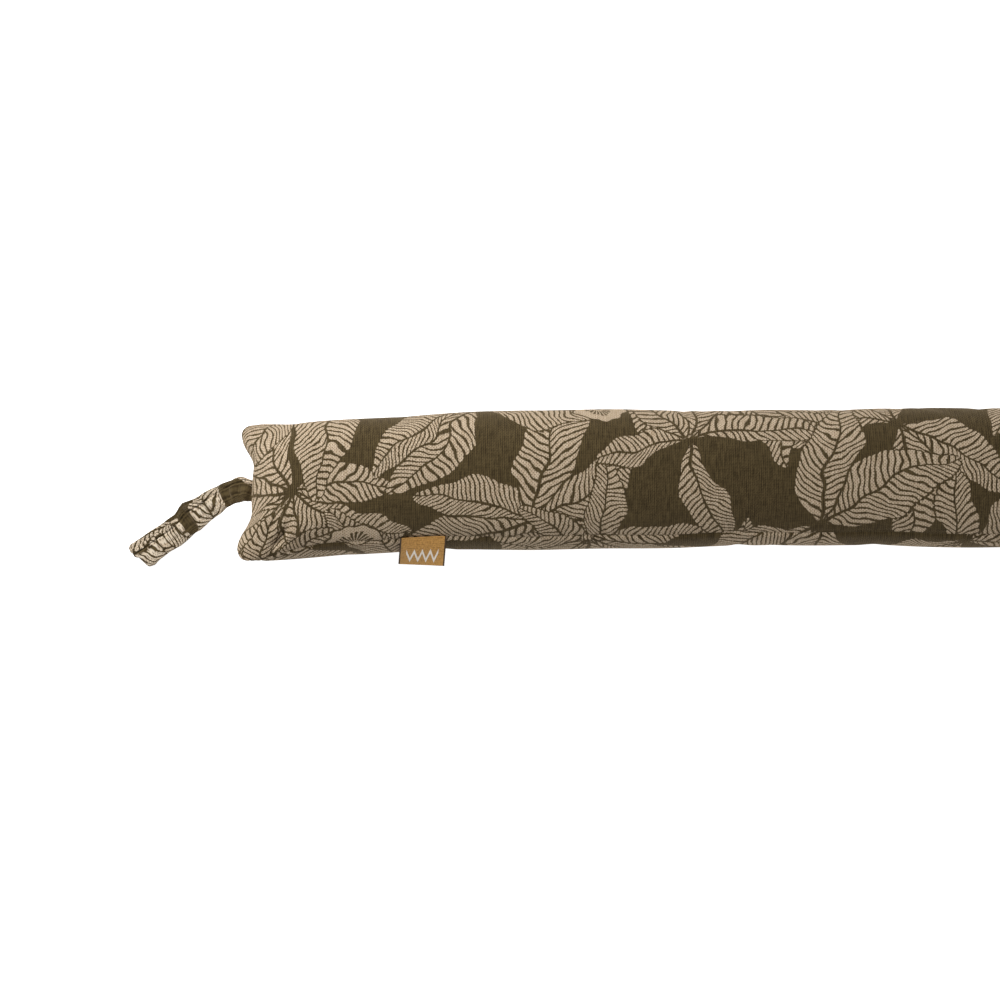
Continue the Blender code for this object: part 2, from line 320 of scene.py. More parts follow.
def evenOut(grid, times):
    # A few times takes single-cell noise out and keeps the folds, and many leave only the broad form
    for _ in range(times):
        around = (np.roll(grid, 1, axis=1) + np.roll(grid, -1, axis=1)) / 2
        along = grid.copy()
        along[1:-1] = (grid[2:] + grid[:-2]) / 2
        grid = grid + 0.25 * (around - grid) + 0.25 * (along - grid)
    return grid


def doubled(values, axis, closed):
    # Twice as many points along one axis, on a smooth curve through the old ones
    values = np.moveaxis(values, axis, 0)
    if closed:
        before, after, beyond = np.roll(values, 1, 0), np.roll(values, -1, 0), np.roll(values, -2, 0)
        halves = (9 * (values + after) - before - beyond) / 16
        both = np.stack([values, halves], axis=1).reshape(-1, *values.shape[1:])
    else:
        padded = np.concatenate([2 * values[:1] - values[1:2], values, 2 * values[-1:] - values[-2:-1]])
        halves = (9 * (padded[1:-2] + padded[2:-1]) - padded[:-3] - padded[3:]) / 16
        both = np.empty((2 * len(values) - 1, *values.shape[1:]))
        both[::2], both[1::2] = values, halves
    return np.moveaxis(both, 0, axis)


def finerEnds(values, rings):
    # The folds at the ends are sharper than the rest, and need more rings
    start, middle, end = values[: rings + 1], values[rings:-rings], values[-rings - 1 :]
    return np.concatenate([doubled(start, 0, False)[:-1], middle[:-1], doubled(end, 0, False)])


def gridNormals(grid):
    alongStep = np.gradient(grid, axis=0)
    aroundStep = np.roll(grid, -1, axis=1) - np.roll(grid, 1, axis=1)
    normal = np.cross(aroundStep, alongStep)
    normal = normal / np.maximum(np.linalg.norm(normal, axis=2, keepdims=True), 1e-12)
    half = len(grid) // 2
    return -normal if normal[half, np.argmax(grid[half, :, 2]), 2] < 0 else normal


def clothDistances(grid, shares):
    # How far each ring lies along the cloth, as an average of its threads, and each point round it
    steps = np.linalg.norm(np.diff(grid, axis=0), axis=2).mean(axis=1)
    return np.concatenate([[0], np.cumsum(steps)]), shares * ovalRound


def wornForm(grid, along, around):
    # Pulls the seam in, puckers it, and presses the folds
    normal = gridNormals(grid)
    alongMm, aroundMm = np.meshgrid(along * 1000, around * 1000, indexing="ij")
    offSeam = np.minimum(aroundMm, ovalRound * 1000 - aroundMm)
    ends = np.minimum(alongMm, along[-1] * 1000 - alongMm)
    clear = smoothShare(ends / (body["seamFades"] * 1000))
    sink = body["seamValley"] * np.exp(-((offSeam / (body["seamReach"] * 1000)) ** 2)) * clear
    beside = np.exp(-((offSeam - body["puckerOff"] * 1000) / (body["puckerWide"] * 1000)) ** 2)
    waves = np.sin(2 * math.pi * alongMm / (body["seamPuckerLong"] * 1000) + 2.2 * np.sin(alongMm / 37))
    sink += body["seamPucker"] * beside * clear * (waves + 0.6 * np.sin(alongMm / 2.9 + 1.3))
    for foldAlong, foldAround, long, wide, deep, turn in folds:
        dx = alongMm - foldAlong
        dy = (aroundMm - foldAround + ovalRound * 500) % (ovalRound * 1000) - ovalRound * 500
        c, s = math.cos(math.radians(turn)), math.sin(math.radians(turn))
        alongFold, acrossFold = dx * c + dy * s, dy * c - dx * s
        sink += deep / 1000 * np.exp(-((alongFold / long) ** 2) - (acrossFold / wide) ** 2)
    resting = smoothShare(grid[:, :, 2:3] / body["restsBelow"])
    worn = grid - normal * sink[:, :, None] * resting
    worn[:, :, 2] = np.maximum(worn[:, :, 2], 0)
    return worn


def layOutCloth(piece, along, around, count, rings):
    # UV map "cloth": metres along and round the flat cloth, split at the lengthwise seam
    layer = piece.data.uv_layers.new(name="cloth")
    corners = np.empty((len(piece.data.loops), 2), np.float32)
    index = 0
    for face in piece.data.polygons:
        columns = [v % count for v in face.vertices]
        ridge = face.index >= (rings - 1) * count
        overSeam = not ridge and 0 in columns and count - 1 in columns
        for vertex in face.vertices:
            i, j = divmod(vertex, count)
            if ridge:
                jointed = body["jointCloth"] if j > count // 2 else 0
                corners[index] = along[i] - jointed, around[min(j, count - j)]
            else:
                corners[index] = along[i], ovalRound if overSeam and j == 0 else around[j]
            index += 1
    layer.data.foreach_set("uv", corners.ravel())


def rolledLip(ring, inward):
    # The cloth turning in between the two faces of an end ridge, where the closing stitches lie
    mirrored = np.roll(ring[::-1], 1, axis=0)
    lip = ring + body["lipShare"] * ((ring + mirrored) / 2 - ring)
    lip[:, 0] += inward
    return lip


def makeBody():
    shares = ringShares()
    stations = bodyStations()
    grid = np.stack([bodyRing(side, e, shares) for side, e in stations])
    along, around = clothDistances(grid, shares)
    rest = np.stack([bodyRing(side, e, shares, body["gatherSlack"]) for side, e in stations])
    grid = evenOut(settleCloth(grid, rest), body["noiseTimes"])
    print("cloth settled")
    fineShares = doubled(np.unwrap(shares, period=1.0), 0, False)
    fineShares = np.append(fineShares, (shares[-1] + 1) / 2)
    fineAlong = finerEnds(doubled(along, 0, False), body["fineRings"])
    fine = finerEnds(doubled(doubled(grid, 0, False), 1, True), body["fineRings"])
    fine[:, :, 2] = np.maximum(fine[:, :, 2], 0)
    fine = wornForm(fine, fineAlong, fineShares * ovalRound)
    lips = rolledLip(fine[0], body["lipDeep"]), rolledLip(fine[-1], -body["lipDeep"])
    fine = np.concatenate([lips[:1], fine, lips[1:]])
    inLip = body["lipCloth"]
    fineAlong = np.concatenate([[fineAlong[0] - inLip], fineAlong, [fineAlong[-1] + inLip]])
    rings, count = fine.shape[:2]
    piece = newPiece("leaf_print_body", fine, closedFaces(rings, count))
    layOutCloth(piece, fineAlong, fineShares * ovalRound, count, rings)
    pointOut(piece)
    print("body", rings, "rings of", count)
    return piece, fine


# The hanging loop: a strap of the same cloth, out from the end seam, folded, and back on top of itself
strap = {
    "width": 0.0245,
    "rootWidth": 0.021,
    "thick": 0.0026,
    "crown": 0.0010,  # the soft swell of each leg
    "legsApart": 0.0008,
    "eyeApart": 0.0030,
    "fan": 0.0027,
    "untwistsOver": 0.055,
    "long": 0.3022,
    "steps": 150,
    "turnSteps": 14,
    "sectionSteps": 96,
    "wrinkle": 0.00035,
    "hemAt": 0.52,  # where the cut edge was folded under, as a share of the half width
    "hemWide": 0.07,
    "hemDeep": 0.0013,
    "hemHigh": 0.0007,
    "rootThick": 0.0013,  # pressed between the two faces of the end seam
    "rootApart": 0.0002,
    "freedBy": 0.07,  # share of the way to the eye
    "widensBy": 0.35,
    "eyeFrom": 0.72,
    "eyeOver": 0.28,
    "squareAcross": 0.55,  # of its section, where 1 is an ellipse
    "squareThrough": 0.6,
    "leastHalf": 0.0004,
    "tuck": 0.0040,
    "tipStepAt": 0.12,
    "tipStepWide": 0.16,
    "tipAhead": 0.0014,  # the folded-over half ends in front of the other one
    "tipBehind": 0.0016,
    "tipSlant": 0.0022,
    "tipOver": 0.030,
    "printAt": (0.398, 0.140),  # where on the printed cloth it was cut
    "stitchPlace": 84,  # which of the section's points the edge stitching follows
}
strapRoute = (
    # out, across, height
    (0.000, 0.000, 0.0410),
    (0.017, 0.001, 0.0390),
    (0.041, -0.013, 0.0240),
    (0.064, -0.030, 0.0085),
    (0.090, -0.0485, 0.0036),
    (0.116, -0.0665, 0.0036),
)
# Where the strap has rucked up, and the creases pressed across it: mm from the end seam, mm that it leans
# from the middle to an edge, half width, and height or depth
strapRucks = (
    (7, 3, 3.6, 1.5),
    (19, -4, 3.6, 2.4),
    (31, -3, 5, 2.8),
    (48, 6, 8, 1.2),
    (74, -2, 5.5, 2.9),
    (94, 6, 7, 1.8),
    (116, -3, 10, 0.8),
)
strapCreases = (
    (13, 4, 1.7, 2.0),
    (25, 6, 2.2, 2.9),
    (36, 9, 1.5, 1.4),
    (41, -7, 1.8, 1.2),
    (57, 8, 1.6, 0.9),
    (81, 1, 1.9, 2.9),
    (87, 6, 1.7, 1.4),
    (103, -6, 1.8, 1.1),
    (119, 5, 1.4, 0.7),
    (134, 4, 1.6, 0.8),
)
# How far each edge stands out past its nominal place, mm: share of the way to the eye, upper, lower
strapEdges = (
    (0.00, 0.0, 0.0),
    (0.14, 1.7, 2.6),
    (0.20, -1.0, 1.3),
    (0.30, 0.0, 0.0),
    (0.36, 1.8, -0.6),
    (0.45, 2.1, -1.6),
    (0.50, 3.4, -2.1),
    (0.58, 6.8, -1.4),
    (0.62, 6.0, -2.4),
    (0.67, 2.6, -1.8),
    (0.75, 2.0, -1.2),
    (0.83, 2.3, -3.2),
    (0.90, 2.3, -2.6),
    (0.95, 3.0, -0.9),
    (1.00, 3.2, -2.2),
)
strapRoot = (-0.4384, -0.0101)  # along and across, just clear of the end ridge


def routePoint(part):
    spans = len(strapRoute) - 1
    index = min(int(part * spans), spans - 1)
    t = part * spans - index
    rows = [strapRoute[min(max(index + k, 0), spans)] for k in (-1, 0, 1, 2)]
    a, b, c, d = (Vector((-out, across, height)) for out, across, height in rows)
    curve = b * 2 + (c - a) * t + (a * 2 - b * 5 + c * 4 - d) * t**2 + (b * 3 - a - c * 3 + d) * t**3
    return Vector((*strapRoot, 0)) + curve / 2


def routeFrame(part):
    step = 0.004
    middle = routePoint(part)
    forward = (routePoint(min(1.0, part + step)) - routePoint(max(0.0, part - step))).normalized()
    level = Vector((forward.y, -forward.x, 0)).normalized()
    if part <= step:
        forward, level = Vector((-1, 0, 0)), Vector((0, 1, 0))
    untwisted = float(smoothShare((middle - routePoint(0)).length / strap["untwistsOver"]))
    slope = body["seamSlope"] * (1 - untwisted)
    sideways = level * math.cos(slope) - Vector((0, 0, math.sin(slope)))
    sideways = (sideways - forward * sideways.dot(forward)).normalized()
    return middle, forward, sideways, sideways.cross(forward)


def strapStations():
    # Each row: middle, sideways, up, forward, width, thickness and share of the way to the eye
    out, back = [], []
    for step in range(strap["steps"]):
        part = step / strap["steps"]
        middle, forward, sideways, up = routeFrame(part)
        eased = float(smoothShare((part - strap["eyeFrom"]) / strap["eyeOver"]))
        freed = float(smoothShare(part / strap["freedBy"]))
        apart = strap["rootApart"] + (strap["legsApart"] - strap["rootApart"]) * freed
        apart += (strap["eyeApart"] - strap["legsApart"]) * eased
        thick = strap["rootThick"] + (strap["thick"] - strap["rootThick"]) * freed
        widened = float(smoothShare(part / strap["widensBy"]))
        width = strap["rootWidth"] + (strap["width"] - strap["rootWidth"]) * widened
        lift = up * ((apart + thick) / 2)
        slide = sideways * (strap["fan"] * float(smoothShare(part)))
        out.append((middle - lift + slide, sideways, up, forward, width, thick, part))
        back.append((middle + lift - slide, sideways, -up, forward, width, thick, part))
    back.reverse()
    middle, forward, sideways, up = routeFrame(1.0)
    radius = (strap["eyeApart"] + strap["thick"]) / 2
    turn = []
    for step in range(strap["turnSteps"] + 1):
        angle = math.pi * step / strap["turnSteps"]
        outward = forward * math.sin(angle) - up * math.cos(angle)
        place = middle + outward * radius + sideways * strap["fan"] * math.cos(angle)
        turn.append((place, sideways, -outward, forward, strap["width"], strap["thick"], 1.0))
    inside = Vector((strap["tuck"], 0, 0))
    return [(out[0][0] + inside, *out[0][1:])] + out + turn + back + [(back[-1][0] + inside, *back[-1][1:])]


def acrossFolds(rows, fromSeam, across):
    return sum(tall * np.exp(-(((fromSeam - at - slant * across) / w) ** 2)) for at, slant, w, tall in rows)


def makeStrap():
    count = strap["sectionSteps"]
    angles = 2 * math.pi * np.arange(count) / count
    across = np.sign(np.cos(angles)) * np.abs(np.cos(angles)) ** strap["squareAcross"]
    through = np.sign(np.sin(angles)) * np.abs(np.sin(angles)) ** strap["squareThrough"]
    shareRows, upperRows, lowerRows = zip(*strapEdges)
    tip = smoothShare((across - strap["tipStepAt"]) / strap["tipStepWide"] + 0.5)
    tip = strap["tipAhead"] * tip - strap["tipBehind"] * (1 - tip) + strap["tipSlant"] * np.minimum(across, 0)
    hemPast = smoothShare((across - strap["hemAt"]) / strap["hemWide"] - 0.3)
    rings, travelled, before = [], [0.0], None
    stations = strapStations()
    total = len(stations) - 1
    for index, (middle, sideways, up, forward, width, thick, part) in enumerate(stations):
        if before is not None:
            travelled.append(travelled[-1] + (middle - before).length)
        before = middle
        gone = travelled[-1] * 1000
        fromRoot = min(index, total - index) / total * 2
        soft = float(smoothShare(fromRoot / 0.08))
        swell = strap["crown"] * soft * float(smoothShare((1 - fromRoot) / 0.10)) * (1 - across**2)
        fromSeam = min(gone, (strap["long"] + 2 * strap["tuck"]) * 1000 - gone) - strap["tuck"] * 1000
        trueUp = up if index < total / 2 else -up
        ruck = acrossFolds(strapRucks, fromSeam, across)
        crease = acrossFolds(strapCreases, fromSeam, across)
        hem = np.exp(-(((across - strap["hemAt"]) / strap["hemWide"]) ** 2)) * strap["hemDeep"]
        hem = (hem - strap["hemHigh"] * hemPast) * soft
        upper = width / 2 + float(np.interp(part, shareRows, upperRows)) / 1000
        lower = width / 2 + float(np.interp(part, shareRows, lowerRows)) / 1000
        wavy = 1 + 0.015 * math.sin(gone / 9.0) + 0.015 * math.sin(gone / 4.1 + 1)
        wrinkle = np.sin(gone / 3.4 + 2.2 * across) * np.abs(across) ** 1.5 + 0.6 * math.sin(gone / 7.5 + 0.7)
        wrinkle = wrinkle * strap["wrinkle"] * soft
        atTip = float(smoothShare(1 - (1 - fromRoot) * strap["long"] / 2 / strap["tipOver"]))
        outer = through < 0  # the face away from the other leg takes the swell and the creases
        relief = np.where(outer, swell - crease / 1000 - hem, 0)
        height = through * np.maximum(thick / 2 + relief, strap["leastHalf"])
        height = height + wrinkle * np.where(outer, 1, 0.3)
        sideMove = ((upper + lower) * across + (upper - lower)) / 2 * wavy
        ring = []
        for side, high, lift, ahead in zip(sideMove, height, ruck * soft / 1000, tip * atTip):
            p = middle + sideways * float(side) + up * float(high)
            p = p + trueUp * float(lift) + forward * float(ahead)
            ring.append((p.x, p.y, max(0.0, p.z)))
        rings.append(ring)
    rings = np.array(rings)
    faces = ringFaces(len(rings), count)
    faces.append(tuple(range(count)))
    faces.append(tuple((len(rings) - 1) * count + j for j in range(count))[::-1])
    piece = newPiece("hanging_strap", rings, faces)
    pointOut(piece)
    layer = piece.data.uv_layers.new(name="cloth")
    distances = np.array(travelled)
    halfRound = strap["width"] + strap["thick"]
    for polygon in piece.data.polygons:
        columns = [v % count for v in polygon.vertices]
        wraps = 0 in columns and count - 1 in columns and len(columns) == 4
        for loop, vertex in zip(polygon.loop_indices, polygon.vertices):
            i, j = divmod(vertex, count)
            roundShare = 1.0 if wraps and j == 0 else j / count
            printAlong = strap["printAt"][1] + distances[i]
            layer.data[loop].uv = (strap["printAt"][0] + roundShare * 2 * halfRound, printAlong)
    print("strap", len(rings), "rings, length", round(float(distances[-1]), 4))
    return piece, rings, distances


# The side label: a woven tape folded in half, its two ends caught in the lengthwise seam
label = {
    "width": 0.046,
    "length": 0.033,
    "thick": 0.0012,  # of both layers together
    "layer": 0.00045,
    "bow": 0.0004,  # how far the upper layer swells off the under one
    "at": -0.266,
    "dropLeft": math.radians(45),
    "dropRight": math.radians(30),
    "lean": 0.0028,
    "steps": 22,
    "turnSteps": 6,
    "rows": 24,
    "clear": 0.0003,
    "seamValley": 0.0016,  # how deep the solid's seam lies
}


def seamAt(along):
    fromEnd = 1 + (halfLength + along - body["fillsOver"]) / (halfLength - body["fillsOver"])
    ring = bodyRing(-1, fromEnd, np.array([0.0]))[0]
    out = Vector((ovalAcross[0], ovalUp[0] - ovalMiddle)).normalized() * label["seamValley"]
    return ring[1] - out.x, ring[2] - out.y


def labelLine(place):
    # Middle surface of the two layers at a place across the label: (point, slope) from the seam out
    along = label["at"] + place * label["width"] / 2
    across, up = seamAt(along)
    up += label["clear"] + label["thick"]
    steepest = label["dropLeft"] + (label["dropRight"] - label["dropLeft"]) * (place + 1) / 2
    points = []
    for step in range(label["steps"] + 1):
        share = step / label["steps"]
        slope = steepest * (0.62 + 0.38 * float(smoothShare(share * 1.6)))
        points.append((Vector((along - label["lean"] * share, across, up)), slope))
        across -= label["length"] / label["steps"] * math.cos(slope)
        up -= label["length"] / label["steps"] * math.sin(slope)
    return points


def makeLabel():
    # A thin closed sheet: under layer out, round the fold, upper layer back
    offset = (label["thick"] - label["layer"]) / 2
    middles = []
    for row in range(label["rows"] + 1):
        place = 2 * row / label["rows"] - 1
        line = labelLine(place)
        path = []
        for step, (point, slope) in enumerate(line):
            up = Vector((0, -math.sin(slope), math.cos(slope)))
            bow = label["bow"] * math.sin(math.pi * step / label["steps"]) * math.cos(place * 2.2)
            path.append((point - up * offset, up, point + up * (offset + bow), up))
        tip, slope = line[-1]
        up = Vector((0, -math.sin(slope), math.cos(slope)))
        out = Vector((0, -math.cos(slope), -math.sin(slope)))
        whole = [(low, up) for low, up, _, _ in path]
        for step in range(1, label["turnSteps"]):
            angle = math.pi * step / label["turnSteps"]
            outward = out * math.sin(angle) - up * math.cos(angle)
            whole.append((tip + outward * offset, -outward))
        whole += [(high, -up) for _, _, high, up in reversed(path)]
        middles.append(whole)
    rings = []
    for step in range(len(middles[0])):
        inner, outer = [], []
        for whole in middles:
            point, up = whole[step]
            inner.append(point + up * label["layer"] / 2)
            outer.append(point - up * label["layer"] / 2)
        rings.append([tuple(p) for p in inner + outer[::-1]])
    rings = np.array(rings)
    count = rings.shape[1]
    faces = ringFaces(len(rings), count)
    for first, turned in ((0, True), ((len(rings) - 1) * count, False)):
        for j in range(label["rows"]):
            strip = (first + j, first + j + 1, first + count - 2 - j, first + count - 1 - j)
            faces.append(strip if turned else strip[::-1])
    piece = newPiece("side_label_fold", rings, faces)
    pointOut(piece)
    piece.data.set_sharp_from_angle(angle=math.radians(60))
    layer = piece.data.uv_layers.new(name="label")
    rows, steps = label["rows"], len(rings) - 1
    for polygon in piece.data.polygons:
        for loop, vertex in zip(polygon.loop_indices, polygon.vertices):
            i, j = divmod(vertex, count)
            across = j if j <= rows else count - 1 - j
            layer.data[loop].uv = (across / rows, i / steps)
    print("label", len(rings), "rings of", count)
    return piece


# The print: fans of broad leaves and round seed heads on a half-drop repeat, in mm of flat cloth
printRepeat = {"along": 486.0, "round": 402.0, "drop": 187.0}
fanColumns = ("Along", "Round", "Turn", "Leaves", "Reach", "Broad", "Seed")
fans = (
    (52, 60, 0.3, 7, 150, 0.200, 3.1),
    (300, 20, 1.1, 6, 172, 0.215, 7.7),
    (420, 236, 0.2, 7, 148, 0.205, 5.3),
    (176, 300, 0.8, 6, 176, 0.215, 1.9),
    (10, 356, 0.5, 8, 128, 0.190, 8.4),
    (352, 372, 0.1, 7, 132, 0.200, 6.6),
    (238, 150, 0.55, 7, 158, 0.210, 2.3),
    (452, 96, 0.9, 7, 140, 0.205, 9.2),
    (92, 196, 0.0, 6, 150, 0.215, 4.4),
)
headRays = 24
headColumns = ("Along", "Round", "Turn", "Size")
seedHeads = (
    (366, 150, 0.2, 31),
    (120, 398, 1.0, 28),
)

# Each row is one Math node: result, operation, what goes in, and "held" where it is kept between 0 and 1
placeSteps = (
    ("offAlong", "SUBTRACT", ("clothAlong", "Along")),
    ("repeatTurns", "DIVIDE", ("offAlong", printRepeat["along"])),
    ("repeats", "ROUND", ("repeatTurns",)),
    ("x", "MULTIPLY_ADD", ("repeats", -printRepeat["along"], "offAlong")),
    ("offRound", "SUBTRACT", ("clothRound", "Round")),
    ("dropped", "MULTIPLY_ADD", ("repeats", printRepeat["drop"], "offRound")),
    ("y", "WRAP", ("dropped", printRepeat["round"] / 2, -printRepeat["round"] / 2)),
    ("xx", "MULTIPLY", ("x", "x")),
    ("rr", "MULTIPLY_ADD", ("y", "y", "xx")),
    ("r", "SQRT", ("rr",)),
    ("bearing", "ARCTAN2", ("y", "x")),
    ("turned", "ADD", ("bearing", "Turn")),
    ("upTurned", "ADD", ("turned", 4 * math.pi)),
)
leafSteps = (
    ("sectorWide", "DIVIDE", (2 * math.pi, "Leaves")),
    ("sector", "DIVIDE", ("upTurned", "sectorWide")),
    ("whole", "FLOOR", ("sector",)),
    ("part", "FRACT", ("sector",)),
    ("leafNumber", "FLOORED_MODULO", ("whole", "Leaves")),
)
leafFormSteps = (
    ("mixed", "MULTIPLY", ("chanceTwo", 57.31)),
    ("chanceFour", "FRACT", ("mixed",)),
    ("offMiddle", "SUBTRACT", ("part", 0.5)),
    ("leaning", "MULTIPLY_ADD", ("chanceOne", -0.34, 0.17)),
    ("offAxis", "ADD", ("offMiddle", "leaning")),
    ("angle", "MULTIPLY", ("offAxis", "sectorWide")),
    ("cosine", "COSINE", ("angle",)),
    ("sine", "SINE", ("angle",)),
    ("leafAlong", "MULTIPLY", ("r", "cosine")),
    ("straight", "MULTIPLY", ("r", "sine")),
    ("bend", "MULTIPLY_ADD", ("chanceTwo", 0.0052, -0.0026)),
    ("bowed", "MULTIPLY", ("leafAlong", "leafAlong")),
    ("leafAcross", "MULTIPLY_ADD", ("bowed", "bend", "straight")),
    ("longShare", "MULTIPLY_ADD", ("chanceThree", 0.40, 0.62)),
    ("leafLong", "MULTIPLY", ("Reach", "longShare")),
    ("outShare", "DIVIDE", ("leafAlong", "leafLong")),
    ("outHeld", "MINIMUM", ("outShare", 1.0)),
    ("outUp", "MAXIMUM", ("outHeld", 0.001)),
    ("outBent", "POWER", ("outUp", 0.82)),
    ("outTurn", "MULTIPLY", ("outBent", math.pi)),
    ("bulge", "SINE", ("outTurn",)),
    ("bulgeUp", "MAXIMUM", ("bulge", 0.0)),
    ("outline", "POWER", ("bulgeUp", 0.72)),
    ("broadMm", "MULTIPLY", ("leafLong", "Broad")),
    ("halfWide", "MULTIPLY", ("outline", "broadMm")),
    ("away", "ABSOLUTE", ("leafAcross",)),
    ("side", "SIGN", ("leafAcross",)),
    # side veins, leaning towards the tip and more so at the edge
    ("swept", "MULTIPLY_ADD", ("away", -0.0065, -0.55)),
    ("veinPath", "MULTIPLY_ADD", ("away", "swept", "leafAlong")),
    ("pitch", "MULTIPLY_ADD", ("chanceTwo", 2.6, 4.7)),
    ("veinTurns", "DIVIDE", ("veinPath", "pitch")),
    ("staggered", "MULTIPLY_ADD", ("side", 0.23, "veinTurns")),
    ("wobbled", "MULTIPLY_ADD", ("Wobble", 1.5, "staggered")),
    ("veinPart", "FRACT", ("wobbled",)),
    ("veinCentred", "SUBTRACT", ("veinPart", 0.5)),
    ("offVein", "ABSOLUTE", ("veinCentred",)),
    # the edge: a round end to each stripe, and a gap to the next leaf
    ("rounding", "SUBTRACT", (1.0, "offVein")),
    ("lobe", "MULTIPLY", ("offVein", "rounding")),
    ("reachOut", "MULTIPLY_ADD", ("lobe", 7.5, "halfWide")),
    ("insideEdge", "SUBTRACT", ("reachOut", "away")),
    ("offMiddleAway", "ABSOLUTE", ("offMiddle",)),
    ("toNext", "SUBTRACT", (0.5, "offMiddleAway")),
    ("toNextTurn", "MULTIPLY", ("toNext", "sectorWide")),
    ("toNextMm", "MULTIPLY_ADD", ("toNextTurn", "r", -0.1)),
    ("inside", "MINIMUM", ("insideEdge", "toNextMm")),
    ("paleEdge", "MULTIPLY_ADD", ("inside", 1.6, -1.2), "held"),
    ("coverEdge", "MULTIPLY_ADD", ("insideEdge", 1.6, 2.6), "held"),
    ("veinWide", "MULTIPLY_ADD", ("Uneven", 0.24, 0.06)),
    ("pastVein", "SUBTRACT", ("offVein", "veinWide")),
    ("veinOpen", "MULTIPLY_ADD", ("pastVein", 12.0, 0.5), "held"),
    ("ribWide", "MULTIPLY_ADD", ("outUp", -1.0, 1.75)),
    ("pastRib", "SUBTRACT", ("away", "ribWide")),
    ("ribOpen", "MULTIPLY_ADD", ("pastRib", 1.5, 0.5), "held"),
    ("beforeTip", "SUBTRACT", (1.0, "outShare")),
    ("tip", "MULTIPLY_ADD", ("beforeTip", 90.0, 0.5), "held"),
    ("base", "MULTIPLY_ADD", ("outShare", 40.0, -1.6), "held"),
    ("here", "GREATER_THAN", ("chanceFour", 0.10)),
    ("within", "MULTIPLY", ("tip", "here")),
    ("coverNow", "MULTIPLY", ("coverEdge", "within")),
    ("covers", "MULTIPLY", ("coverNow", "base")),
    ("paleStripe", "MULTIPLY", ("paleEdge", "veinOpen")),
    ("paleHalf", "MULTIPLY", ("paleStripe", "ribOpen")),
    ("pale", "MULTIPLY", ("paleHalf", "covers")),
)
headSteps = (
    ("scallop", "MULTIPLY", ("bearing", 11.0)),
    ("scallopWave", "SINE", ("scallop",)),
    ("edgeOut", "MULTIPLY_ADD", ("scallopWave", 0.9, "Size")),
    ("insideHead", "SUBTRACT", ("edgeOut", "r")),
    ("paleDisc", "MULTIPLY_ADD", ("insideHead", 1.5, 0.0), "held"),
    ("covers", "MULTIPLY_ADD", ("insideHead", 1.5, 3.0), "held"),
    ("ray", "DIVIDE", ("upTurned", 2 * math.pi / headRays)),
    ("rayWhole", "FLOOR", ("ray",)),
    ("rayNumber", "FLOORED_MODULO", ("rayWhole", headRays)),
    ("rayPart", "FRACT", ("ray",)),
    ("rayCentred", "SUBTRACT", ("rayPart", 0.5)),
    ("offRay", "ABSOLUTE", ("rayCentred",)),
    ("rayDark", "LESS_THAN", ("offRay", 0.29)),
    ("outShare", "DIVIDE", ("r", "Size")),
)
headRaySteps = (
    ("rayEnd", "MULTIPLY_ADD", ("chanceOne", 0.22, 0.58)),
    ("rayShort", "LESS_THAN", ("outShare", "rayEnd")),
    ("rayStart", "GREATER_THAN", ("outShare", 0.30)),
    ("rayOut", "MULTIPLY", ("rayDark", "rayShort")),
    ("rayHere", "MULTIPLY", ("rayOut", "rayStart")),
    ("heart", "LESS_THAN", ("outShare", 0.20)),
    ("darkHere", "MAXIMUM", ("rayHere", "heart")),
    ("lightHere", "SUBTRACT", (1.0, "darkHere")),
    ("pale", "MULTIPLY", ("paleDisc", "lightHere")),
)


def runSteps(tree, steps, known):
    # Adds the Math nodes of a table, each fed by earlier results
    for result, operation, inputs, *held in steps:
        sockets = [known[i] if isinstance(i, str) else i for i in inputs]
        known[result] = addNode(tree, "ShaderNodeMath", sockets, operation=operation, use_clamp=bool(held))


def motifGroup(name, sizes, before, numbered, after):
    # A group that draws one motif: where it is pale, and where it covers what lies behind
    group = bpy.data.node_groups.new(name, "ShaderNodeTree")
    for size in ("clothAlong", "clothRound", *sizes):
        group.interface.new_socket(size, in_out="INPUT", socket_type="NodeSocketFloat")
    for result in ("pale", "covers"):
        group.interface.new_socket(result, in_out="OUTPUT", socket_type="NodeSocketFloat")
    given = group.nodes.new("NodeGroupInput")
    known = {socket.name: socket for socket in given.outputs if socket.name}
    runSteps(group, placeSteps + before, known)
    which = addNode(group, "ShaderNodeCombineXYZ", [known[numbered], known[sizes[-1]], 0.0])
    noise = addNode(group, "ShaderNodeTexWhiteNoise", {"Vector": which}, out="Color", noise_dimensions="2D")
    chances = addNode(group, "ShaderNodeSeparateColor", [noise], out=None)
    known.update(zip(("chanceOne", "chanceTwo", "chanceThree"), chances.outputs))
    runSteps(group, after, known)
    addNode(group, "NodeGroupOutput", [known["pale"], known["covers"]], out=None)
    return group


leafFan = motifGroup("leafFan", ("Wobble", "Uneven", *fanColumns), leafSteps, "leafNumber", leafFormSteps)
seedHead = motifGroup("seedHead", headColumns, headSteps, "rayNumber", headRaySteps)

